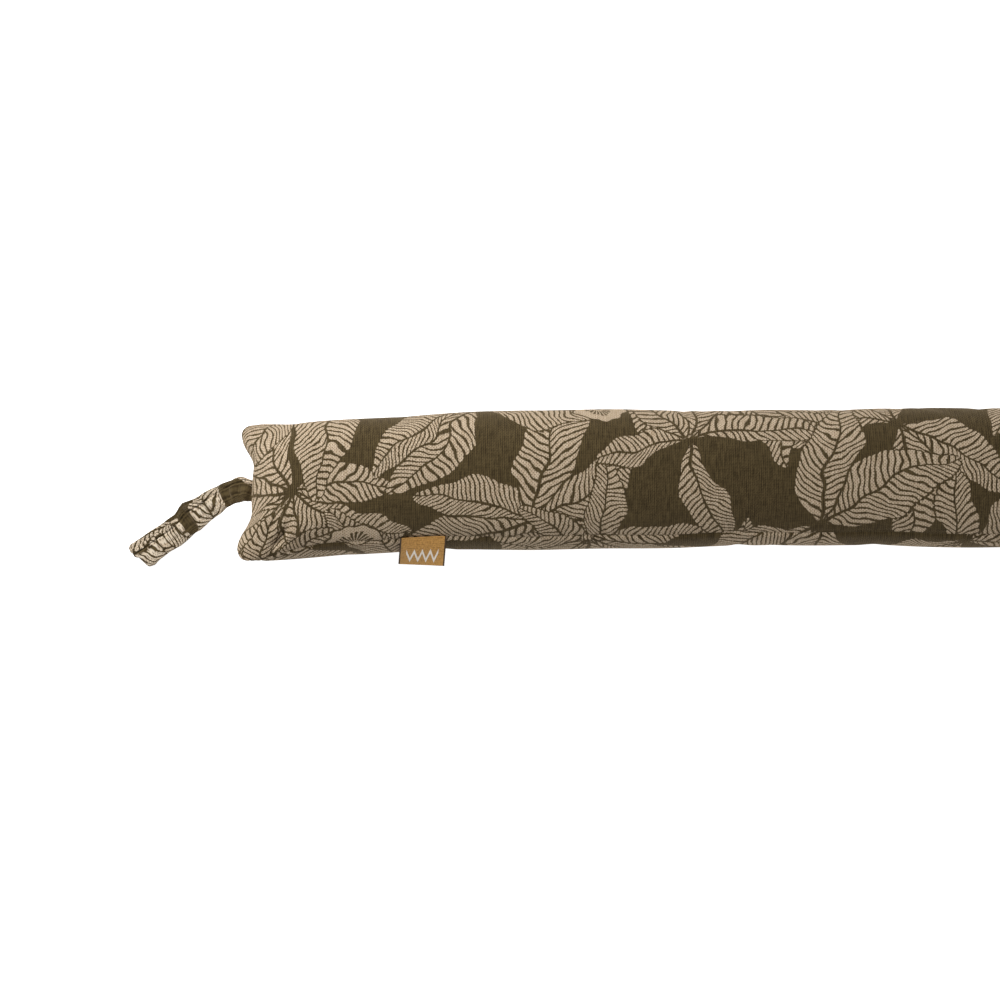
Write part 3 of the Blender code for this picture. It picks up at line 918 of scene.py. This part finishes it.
# Screen-printed cotton canvas: a dry, matt plain weave. The pale print sits on the threads, so the holes
# between them speckle it, and uneven warp threads streak the dyed ground. The real threads are about 0.8 mm
# apart and are drawn a little over 2 mm apart, because finer ones don't show at this size.
canvas = {
    "ground": "#57492E",
    "groundDeep": "#312611",
    "pale": "#CDBAA1",
    "paleDeep": "#AF997D",
    "hole": "#513C28",
    "strapPaleLit": "#E9DAC3",  # painted light: a lighter copy of the pale for the strap, which the key lamp lights brightly
    "strapPaleDeepLit": "#C1AB8F",
    "wanderMm": 26,  # how far the drawing strays from true, and how much of a wave is in each mm
    "wanderPerMm": 0.022,
    "frayMm": 1.5,  # how far the ink runs along the threads
    "frayPerMm": 0.55,
    "wobblePerMm": 0.05,  # of the veins' spacing, and then of their width
    "unevenPerMm": 0.12,
    "threadMm": 3.2,
    "warpMm": 2.1,
    "slubMm": 14,
    "slubWideMm": 1.25,
    "speckMm": 46,
    "weaveHigh": 0.00022,
    "roughness": 0.92,
    "sheen": 0.22,
    "sheenTint": "#EBCDA2",
}
threadTurn = 2 * math.pi / canvas["threadMm"]
weaveSteps = (
    ("warpTurn", "MULTIPLY", ("u", threadTurn)),
    ("weftTurn", "MULTIPLY", ("v", threadTurn)),
    ("warpUneven", "MULTIPLY_ADD", ("shake", 4.0, "warpTurn")),
    ("weftUneven", "MULTIPLY_ADD", ("shake", -4.0, "weftTurn")),
    ("warpWave", "SINE", ("warpUneven",)),
    ("weftWave", "SINE", ("weftUneven",)),
    ("weave", "MULTIPLY", ("warpWave", "weftWave")),
    ("hole", "MULTIPLY_ADD", ("weave", 2.0, -0.5), "held"),
    ("holeShare", "MULTIPLY", ("hole", 0.72)),
    # the ground: fine warp threads side by side, some lighter along part of their length
    ("threadTurn", "MULTIPLY", ("u", 2 * math.pi / canvas["warpMm"])),
    ("threadShaken", "MULTIPLY_ADD", ("warp", 4.0, "threadTurn")),
    ("threadWave", "SINE", ("threadShaken",)),
    ("warpStreak", "MULTIPLY_ADD", ("warp", 3.6, -1.3), "held"),
    ("weftStreak", "MULTIPLY_ADD", ("weft", 3.6, -1.3), "held"),
    ("threadShade", "MULTIPLY_ADD", ("threadWave", 0.42, "warpStreak")),
    ("warpMost", "MULTIPLY", ("threadShade", 0.70)),
    ("yarn", "MULTIPLY_ADD", ("weftStreak", 0.36, "warpMost"), "held"),
    ("speckNear", "LESS_THAN", ("speckFar", 0.019)),
    ("speckRare", "GREATER_THAN", ("speckChance", 0.45)),
    ("speck", "MULTIPLY", ("speckNear", "speckRare")),
    ("yarnHigh", "MULTIPLY", ("yarn", 0.8)),
    ("height", "ADD", ("weave", "yarnHigh")),
)


def canvasMaterial(name, paleColour, paleDeepColour):
    material = bpy.data.materials.new(name)
    tree = emptyTree(material)
    uv = addNode(tree, "ShaderNodeUVMap", uv_map="cloth")
    mm = addNode(tree, "ShaderNodeVectorMath", [uv, (1000, 1000, 1000)], operation="MULTIPLY")
    # a hand-drawn line is never quite true, so the drawing strays, and the ink frays along the threads
    drawn = mm
    for kind in ("wander", "fray"):
        waves = {"Vector": mm, "Scale": canvas[kind + "PerMm"], "Detail": 1.0}
        waves = addNode(tree, "ShaderNodeTexNoise", waves, out="Color")
        waves = addNode(tree, "ShaderNodeVectorMath", [waves, (0.5, 0.5, 0.5)], operation="SUBTRACT")
        far = (canvas[kind + "Mm"], canvas[kind + "Mm"], 0)
        drawn = addNode(tree, "ShaderNodeVectorMath", [waves, far, drawn], operation="MULTIPLY_ADD")
    drawnAt = addNode(tree, "ShaderNodeSeparateXYZ", [drawn], out=None)
    wobble = {"Vector": mm, "Scale": canvas["wobblePerMm"], "Detail": 1.0}
    wobble = addNode(tree, "ShaderNodeTexNoise", wobble)
    wobbleMiddle = addNode(tree, "ShaderNodeMath", [wobble, 0.5], operation="SUBTRACT")
    uneven = {"Vector": mm, "Scale": canvas["unevenPerMm"], "Detail": 2.0}
    uneven = addNode(tree, "ShaderNodeTexNoise", uneven)

    printed = 0.0  # each motif covers what was drawn before it
    motifs = [(leafFan, dict(zip(fanColumns, row), Wobble=wobbleMiddle, Uneven=uneven)) for row in fans]
    motifs += [(seedHead, dict(zip(headColumns, row))) for row in seedHeads]
    for group, sizes in motifs:
        sizes.update(clothAlong=drawnAt.outputs["X"], clothRound=drawnAt.outputs["Y"])
        motif = tree.nodes.new("ShaderNodeGroup")
        motif.node_tree = group
        for size, value in sizes.items():
            if isinstance(value, bpy.types.NodeSocket):
                tree.links.new(value, motif.inputs[size])
            else:
                motif.inputs[size].default_value = value
        bare = addNode(tree, "ShaderNodeMath", [1.0, motif.outputs["covers"]], operation="SUBTRACT")
        layers = [printed, bare, motif.outputs["pale"]]
        printed = addNode(tree, "ShaderNodeMath", layers, operation="MULTIPLY_ADD")

    clothAt = addNode(tree, "ShaderNodeSeparateXYZ", [mm], out=None)
    slub, slubWide = 1 / canvas["slubMm"], 1 / canvas["slubWideMm"]
    warpLong = addNode(tree, "ShaderNodeVectorMath", [mm, (slubWide, slub, 1)], operation="MULTIPLY")
    weftLong = addNode(tree, "ShaderNodeVectorMath", [mm, (slub, slubWide, 1)], operation="MULTIPLY")
    specks = addNode(tree, "ShaderNodeTexVoronoi", {"Vector": mm, "Scale": 1 / canvas["speckMm"]}, out=None)
    known = {
        "u": clothAt.outputs["X"],
        "v": clothAt.outputs["Y"],
        "shake": uneven,
        "warp": addNode(tree, "ShaderNodeTexNoise", {"Vector": warpLong, "Scale": 1.0, "Detail": 3.0}),
        "weft": addNode(tree, "ShaderNodeTexNoise", {"Vector": weftLong, "Scale": 1.0, "Detail": 3.0}),
        "speckFar": specks.outputs["Distance"],
        "speckChance": specks.outputs["Color"],
    }
    runSteps(tree, weaveSteps, known)
    ground = addNode(tree, "ShaderNodeMix", {
        0: known["yarn"], 6: linearColour(canvas["groundDeep"]), 7: linearColour(canvas["ground"]),
    }, out=2, data_type="RGBA")
    pale = addNode(tree, "ShaderNodeMix", {
        0: known["yarn"], 6: linearColour(paleDeepColour), 7: linearColour(paleColour),
    }, out=2, data_type="RGBA")
    speckled = addNode(tree, "ShaderNodeMix", {
        0: known["holeShare"], 6: pale, 7: linearColour(canvas["hole"]),
    }, out=2, data_type="RGBA")
    slubbed = addNode(tree, "ShaderNodeMix", {0: known["speck"], 6: ground, 7: pale}, out=2, data_type="RGBA")
    colour = addNode(tree, "ShaderNodeMix", {0: printed, 6: slubbed, 7: speckled}, out=2, data_type="RGBA")
    bump = addNode(tree, "ShaderNodeBump", {
        "Strength": 0.8, "Distance": canvas["weaveHigh"], "Height": known["height"],
    })
    shader = addNode(tree, "ShaderNodeBsdfPrincipled", {
        "Base Color": colour, "Roughness": canvas["roughness"], "Specular IOR Level": 0.2,
        "Sheen Weight": canvas["sheen"], "Sheen Tint": linearColour(canvas["sheenTint"]),
        "Sheen Roughness": 0.5, "Normal": bump,
    })
    addNode(tree, "ShaderNodeOutputMaterial", [shader], out=None)
    return material


# Woven polyester label: a dense satin with fine ribs from edge to edge and a soft shine, painted shade in a
# dark band down both sides, and a plain zigzag in off-white weft. Ribs of 0.4 mm are drawn 1.9 mm apart to
# show.
labelCloth = {
    "ochre": "#CB9850",
    "ochreDeep": "#835823",
    # colour of the painted shade down both sides
    "selvedge": "#43301A",
    "zigzag": "#FFF9EE",
    "ribMm": 1.9,
    "weftMm": 1.5,
    "paintedSideShadeMm": 1.6,
    "zigzagAtMm": 18.8,
    "zigzagHighMm": 10.0,
    "zigzagPitchMm": 8.0,
    "zigzagWideMm": 2.5,
    "sideClearMm": 7.0,
    "roughness": 0.62,
}
labelSteps = (
    ("fromLeft", "MULTIPLY", ("u", label["width"] * 1000)),
    ("alongMm", "MULTIPLY", ("v", label["length"] * 2000)),
    ("fromRight", "SUBTRACT", (label["width"] * 1000, "fromLeft")),
    ("backMm", "SUBTRACT", (label["length"] * 2000, "alongMm")),
    ("downMm", "MINIMUM", ("alongMm", "backMm")),
    ("sideMm", "MINIMUM", ("fromLeft", "fromRight")),
    # painted shade: a dark band down both sides, where the folded layers part at the edges
    ("inEdge", "SUBTRACT", (labelCloth["paintedSideShadeMm"], "sideMm")),
    ("selvedge", "MULTIPLY_ADD", ("inEdge", 2.5, 0.5), "held"),
    ("ribTurn", "MULTIPLY", ("downMm", 2 * math.pi / labelCloth["ribMm"])),
    ("ribShaken", "MULTIPLY_ADD", ("noise", 3.0, "ribTurn")),
    ("rib", "SINE", ("ribShaken",)),
    ("ribHalf", "MULTIPLY_ADD", ("rib", 0.5, 0.5)),
    ("grainWide", "MULTIPLY_ADD", ("grain", 1.8, -0.6)),
    ("ribNoise", "MULTIPLY_ADD", ("noise", 0.5, "grainWide")),
    # painted shade: the label is darker near the seam, where it tucks under the body, and lighter further
    # down
    ("lighterDown", "MULTIPLY_ADD", ("downMm", 0.010, "ribNoise")),
    ("shade", "MULTIPLY_ADD", ("ribHalf", 0.20, "lighterDown"), "held"),
    ("fromMiddle", "SUBTRACT", ("fromLeft", label["width"] * 500)),
    ("zigzagMm", "PINGPONG", ("fromMiddle", labelCloth["zigzagPitchMm"] / 2)),
    ("zigzagUp", "MULTIPLY", ("zigzagMm", 2 * labelCloth["zigzagHighMm"] / labelCloth["zigzagPitchMm"])),
    ("zigzagFrom", "SUBTRACT", ("downMm", labelCloth["zigzagAtMm"] - labelCloth["zigzagHighMm"] / 2)),
    ("zigzagFar", "SUBTRACT", ("zigzagFrom", "zigzagUp")),
    ("zigzagOff", "ABSOLUTE", ("zigzagFar",)),
    ("zigzagIn", "SUBTRACT", (labelCloth["zigzagWideMm"], "zigzagOff")),
    ("zigzagHere", "MULTIPLY_ADD", ("zigzagIn", 1.6, 0.3), "held"),
    ("clearOfSide", "GREATER_THAN", ("sideMm", labelCloth["sideClearMm"])),
    ("weftTurn", "MULTIPLY", ("fromLeft", 2 * math.pi / labelCloth["weftMm"])),
    ("weftWave", "SINE", ("weftTurn",)),
    ("weftShare", "MULTIPLY_ADD", ("weftWave", 0.16, 0.84)),
    ("zigzagWoven", "MULTIPLY", ("zigzagHere", "weftShare")),
    ("zigzag", "MULTIPLY", ("zigzagWoven", "clearOfSide")),
    ("height", "MULTIPLY_ADD", ("zigzag", 0.8, "ribHalf")),
)


def labelMaterial():
    material = bpy.data.materials.new("woven_polyester_satin")
    tree = emptyTree(material)
    uv = addNode(tree, "ShaderNodeUVMap", uv_map="label")
    at = addNode(tree, "ShaderNodeSeparateXYZ", [uv], out=None)
    flatMm = (label["width"] * 1000, label["length"] * 2000, 1)
    mm = addNode(tree, "ShaderNodeVectorMath", [uv, flatMm], operation="MULTIPLY")
    ribsLong = addNode(tree, "ShaderNodeVectorMath", [mm, (0.12, 1.4, 1)], operation="MULTIPLY")
    noise = addNode(tree, "ShaderNodeTexNoise", {"Vector": ribsLong, "Scale": 1.0, "Detail": 3.0})
    grain = addNode(tree, "ShaderNodeTexNoise", {"Vector": mm, "Scale": 0.55, "Detail": 2.0})
    known = {"u": at.outputs["X"], "v": at.outputs["Y"], "noise": noise, "grain": grain}
    runSteps(tree, labelSteps, known)
    weft = addNode(tree, "ShaderNodeMix", {
        0: known["shade"], 6: linearColour(labelCloth["ochreDeep"]), 7: linearColour(labelCloth["ochre"]),
    }, out=2, data_type="RGBA")
    patterned = addNode(tree, "ShaderNodeMix", {
        0: known["zigzag"], 6: weft, 7: linearColour(labelCloth["zigzag"]),
    }, out=2, data_type="RGBA")
    # the painted side shade goes over the rest
    colour = addNode(tree, "ShaderNodeMix", {
        0: known["selvedge"], 6: patterned, 7: linearColour(labelCloth["selvedge"]),
    }, out=2, data_type="RGBA")
    bump = addNode(tree, "ShaderNodeBump", {"Strength": 0.7, "Distance": 0.0001, "Height": known["height"]})
    shader = addNode(tree, "ShaderNodeBsdfPrincipled", {
        "Base Color": colour, "Roughness": labelCloth["roughness"], "Sheen Weight": 0.08,
        "Specular IOR Level": 0.4, "Normal": bump,
    })
    addNode(tree, "ShaderNodeOutputMaterial", [shader], out=None)
    return material


# Spun polyester sewing thread, dyed to the ground: matt, with a slightly lighter hair along it
thread = {
    "colour": "#4A3E27",
    "light": "#6A5B3C",
    "seamPitch": 0.0032,
    "seamLong": 0.0024,
    "edgePitch": 0.0030,
    "edgeLong": 0.0022,
    "wide": 0.00042,
    "jitter": 0.10,  # how far a stitch turns off its line
    "edgeJitter": 0.06,
    "seed": 11,
    "clearRings": 8,  # of the body's, at each end of the lengthwise seam
    "endStandsOff": 0.0003,
}


def threadMaterial():
    material = bpy.data.materials.new("spun_polyester_thread")
    tree = emptyTree(material)
    at = addNode(tree, "ShaderNodeTexCoord", out="Object")
    noise = addNode(tree, "ShaderNodeTexNoise", {"Vector": at, "Scale": 900.0, "Detail": 2.0})
    colour = addNode(tree, "ShaderNodeMix", {
        0: noise, 6: linearColour(thread["colour"]), 7: linearColour(thread["light"]),
    }, out=2, data_type="RGBA")
    bump = addNode(tree, "ShaderNodeBump", {"Strength": 0.4, "Distance": 0.0001, "Height": noise})
    shader = addNode(tree, "ShaderNodeBsdfPrincipled", {
        "Base Color": colour, "Roughness": 0.7, "Sheen Weight": 0.1, "Normal": bump,
    })
    addNode(tree, "ShaderNodeOutputMaterial", [shader], out=None)
    return material


def stitchTree(material):
    # Threads a row of stitches along a line, each turned to lie on the cloth
    tree = bpy.data.node_groups.new("threadStitches", "GeometryNodeTree")
    tree.interface.new_socket("Geometry", in_out="INPUT", socket_type="NodeSocketGeometry")
    for size in ("Pitch", "Long", "Wide", "Jitter"):
        tree.interface.new_socket(size, in_out="INPUT", socket_type="NodeSocketFloat")
    tree.interface.new_socket("Seed", in_out="INPUT", socket_type="NodeSocketInt")
    tree.interface.new_socket("Geometry", in_out="OUTPUT", socket_type="NodeSocketGeometry")
    given = tree.nodes.new("NodeGroupInput").outputs
    line = addNode(tree, "GeometryNodeMeshToCurve", {"Mesh": given["Geometry"]})
    row = {"Curve": line, "Length": given["Pitch"]}
    row = addNode(tree, "GeometryNodeCurveToPoints", row, out=None, mode="LENGTH")
    out = addNode(tree, "GeometryNodeInputNamedAttribute", {"Name": "out"}, data_type="FLOAT_VECTOR")
    sway = addNode(tree, "FunctionNodeRandomValue", {
        "Min": (-1.0, -1.0, -1.0), "Max": (1.0, 1.0, 1.0), "Seed": given["Seed"],
    }, data_type="FLOAT_VECTOR")
    swayed = addNode(tree, "ShaderNodeVectorMath", {0: sway, "Scale": given["Jitter"]}, operation="SCALE")
    heading = addNode(tree, "ShaderNodeVectorMath", [row.outputs["Tangent"], swayed], operation="ADD")
    turn = addNode(tree, "FunctionNodeAxesToRotation", {"Primary Axis": out, "Secondary Axis": heading},
                   primary_axis="Z", secondary_axis="X")
    bead = addNode(tree, "GeometryNodeMeshUVSphere", {"Segments": 8, "Rings": 5, "Radius": 0.5}, out="Mesh")
    bead = addNode(tree, "GeometryNodeSetShadeSmooth", {0: bead})
    size = addNode(tree, "ShaderNodeCombineXYZ", [given["Long"], given["Wide"], given["Wide"]])
    stitches = addNode(tree, "GeometryNodeInstanceOnPoints", {
        "Points": row.outputs["Points"], "Instance": bead, "Rotation": turn, "Scale": size,
    })
    real = addNode(tree, "GeometryNodeRealizeInstances", {"Geometry": stitches})
    coated = addNode(tree, "GeometryNodeSetMaterial", {"Geometry": real, "Material": material})
    addNode(tree, "NodeGroupOutput", [coated], out=None)
    return tree


def stitchRow(name, tree, line, outs, sizes):
    # A polyline with an outward direction at each point, threaded and made a plain mesh
    line = np.array(line)
    line[:, 2] = np.maximum(line[:, 2], thread["wide"] / 2)
    mesh = bpy.data.meshes.new(name + "_line")
    mesh.from_pydata([tuple(p) for p in line], [(i, i + 1) for i in range(len(line) - 1)], [])
    attribute = mesh.attributes.new("out", "FLOAT_VECTOR", "POINT")
    attribute.data.foreach_set("vector", np.asarray(outs, np.float32).ravel())
    row = bpy.data.objects.new(name + "_line", mesh)
    scene.collection.objects.link(row)
    modifier = row.modifiers.new("stitches", "NODES")
    modifier.node_group = tree
    sockets = {s.name: s.identifier for s in tree.interface.items_tree if s.in_out == "INPUT"}
    for size, value in sizes.items():
        modifier[sockets[size]] = value
    evaluated = row.evaluated_get(bpy.context.evaluated_depsgraph_get())
    made = bpy.data.meshes.new_from_object(evaluated)
    bpy.data.objects.remove(row)
    made.name = name
    stitches = bpy.data.objects.new(name, made)
    scene.collection.objects.link(stitches)
    return stitches


printedCanvas = canvasMaterial("printed_cotton_canvas", canvas["pale"], canvas["paleDeep"])
# the strap's canvas is the same print with lighter pale colours, painted light
litStrapCanvas = canvasMaterial("folded_cotton_canvas_lit_copy", canvas["strapPaleLit"], canvas["strapPaleDeepLit"])
labelSatin = labelMaterial()
sewingThread = threadMaterial()
print("materials made")

bodyPiece, bodyGrid = makeBody()
bodyPiece.data.materials.append(printedCanvas)
strapPiece, strapRings, strapAlong = makeStrap()
strapPiece.data.materials.append(litStrapCanvas)
labelPiece = makeLabel()
labelPiece.data.materials.append(labelSatin)

# Stitch rows: in the groove of the lengthwise seam, along each end ridge, and down one edge of the strap
stitching = stitchTree(sewingThread)
bodyNormals = gridNormals(bodyGrid)
seamSizes = {
    "Pitch": thread["seamPitch"], "Long": thread["seamLong"], "Wide": thread["wide"],
    "Jitter": thread["jitter"], "Seed": thread["seed"],
}
edgeSizes = dict(seamSizes, Pitch=thread["edgePitch"], Long=thread["edgeLong"], Jitter=thread["edgeJitter"])
clearRings = slice(thread["clearRings"], len(bodyGrid) - thread["clearRings"])
stitchRows = [
    stitchRow("seam_stitches", stitching, bodyGrid[clearRings, 0], bodyNormals[clearRings, 0], seamSizes)
]
endLines = []
for ring, toward in ((bodyGrid[0], -1), (bodyGrid[-1], 1)):
    middle = (ring[1:] + ring[:0:-1]) / 2
    line = middle[2 : len(middle) // 2 - 1] + np.array([toward * thread["endStandsOff"], 0, 0])
    endLines.append((line, np.tile([toward, 0.0, 0.0], (len(line), 1))))
for name, (line, outs) in zip(("left_end_stitches", "right_end_stitches"), endLines):
    stitchRows.append(stitchRow(name, stitching, line, outs, seamSizes))
edge = strap["stitchPlace"]
strapTurn = strapRings[2:-2, edge - 1] - strapRings[2:-2, edge + 1]
strapAhead = strapRings[3:-1, edge] - strapRings[1:-3, edge]
strapOut = np.cross(strapTurn, strapAhead)
fromMiddle = strapRings[2:-2, edge] - strapRings[2:-2].mean(axis=1)
strapOut *= np.sign((strapOut * fromMiddle).sum(axis=1, keepdims=True))
stitchRows.append(stitchRow("strap_stitches", stitching, strapRings[2:-2, edge], strapOut, edgeSizes))
print("stitches made", sum(len(row.data.vertices) for row in stitchRows), "points")

for piece in (bodyPiece, strapPiece, labelPiece, *stitchRows):
    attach(piece, "root")
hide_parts("filled_body")
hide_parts("hanging_loop")
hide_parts("side_label")
print("pieces placed")

# A white studio sweep that is brightest where it rises behind, one large soft lamp from the upper left, a
# weaker one overhead, and a low card that fills the near side
studio = {
    "floorAt": -0.0006,
    "floorWide": 60.0,
    "floorGlow": 0.92,
    "lampsAim": (-0.1, 0, 0.04),
    "keyAt": (-1.00, 0.95, 1.05),
    "keyWide": 0.8,
    "keyWatts": 24.5,
    "topAt": (0.1, 0.3, 2.2),
    "topWide": 1.6,
    "topWatts": 6.0,
    "fillAt": (0.55, -1.25, 0.40),
    "fillWide": 0.9,
    "fillWatts": 2.6,
    "skyHigh": 0.20,
    "skyLow": 0.56,
    "skyBand": (-0.25, 0.5),  # from the low sky to the high one
    "horizonGlow": 0.70,
    "horizonHigh": 0.16,
    "cameraAt": (-0.190, -0.0205, 2.5),
    "cameraRoll": math.radians(-0.4),
    "cameraLens": 88.45,
}


def makeFloor():
    half = studio["floorWide"] / 2
    turns = ((-half, -half), (half, -half), (half, half), (-half, half))
    corners = [(x, y, studio["floorAt"]) for x, y in turns]
    floor = newPiece("studio_floor", corners, [(0, 1, 2, 3)], smooth=False)
    # matt, and lit from within a little, so that it stays white
    material = bpy.data.materials.new("matt_white_vinyl_sweep")
    material.use_nodes = True
    shader = material.node_tree.nodes["Principled BSDF"]
    shader.inputs["Base Color"].default_value = linearColour("#F4F4F4")
    shader.inputs["Roughness"].default_value = 0.9
    shader.inputs["Emission Color"].default_value = (1, 1, 1, 1)
    shader.inputs["Emission Strength"].default_value = studio["floorGlow"]
    floor.data.materials.append(material)
    floor.visible_diffuse = False  # the lower sides stay as dark as in the studio


def makeLamp(name, place, wide, watts):
    lamp = bpy.data.lights.new(name, "AREA")
    lamp.shape = "DISK"
    lamp.size = wide
    lamp.energy = watts
    made = bpy.data.objects.new(name, lamp)
    made.location = place
    made.rotation_euler = (Vector(studio["lampsAim"]) - Vector(place)).to_track_quat("-Z", "Y").to_euler()
    scene.collection.objects.link(made)


def makeSky():
    # Light from all round, more of it from below, as a white floor gives, and most where the sweep rises
    world = bpy.data.worlds.new("soft_room")
    tree = emptyTree(world)
    direction = addNode(tree, "ShaderNodeTexCoord", out="Generated")
    up = addNode(tree, "ShaderNodeSeparateXYZ", [direction], out=None)
    share = addNode(tree, "ShaderNodeMapRange", {
        "Value": up.outputs["Z"], "From Min": studio["skyBand"][0], "From Max": studio["skyBand"][1],
        "To Min": studio["skyLow"], "To Max": studio["skyHigh"],
    })
    level = addNode(tree, "ShaderNodeMath", [up.outputs["Z"]], operation="ABSOLUTE")
    glow = addNode(tree, "ShaderNodeMapRange", {
        "Value": level, "From Min": 0.0, "From Max": studio["horizonHigh"],
        "To Min": studio["horizonGlow"], "To Max": 0.0,
    })
    strength = addNode(tree, "ShaderNodeMath", [share, glow], operation="ADD")
    sky = addNode(tree, "ShaderNodeBackground", {"Color": (1, 1, 1, 1), "Strength": strength})
    addNode(tree, "ShaderNodeOutputWorld", [sky], out=None)
    scene.world = world


makeFloor()
makeLamp("key_softbox", studio["keyAt"], studio["keyWide"], studio["keyWatts"])
makeLamp("top_softbox", studio["topAt"], studio["topWide"], studio["topWatts"])
makeLamp("fill_card", studio["fillAt"], studio["fillWide"], studio["fillWatts"])
makeSky()
camera = bpy.data.cameras.new("photo_camera")
camera.sensor_width = 36
camera.lens = studio["cameraLens"]
photoCamera = bpy.data.objects.new("photo_camera", camera)
photoCamera.location = studio["cameraAt"]
photoCamera.rotation_euler = (0, 0, studio["cameraRoll"])
scene.collection.objects.link(photoCamera)
scene.camera = photoCamera
scene.view_settings.view_transform = "Standard"
print("studio set")
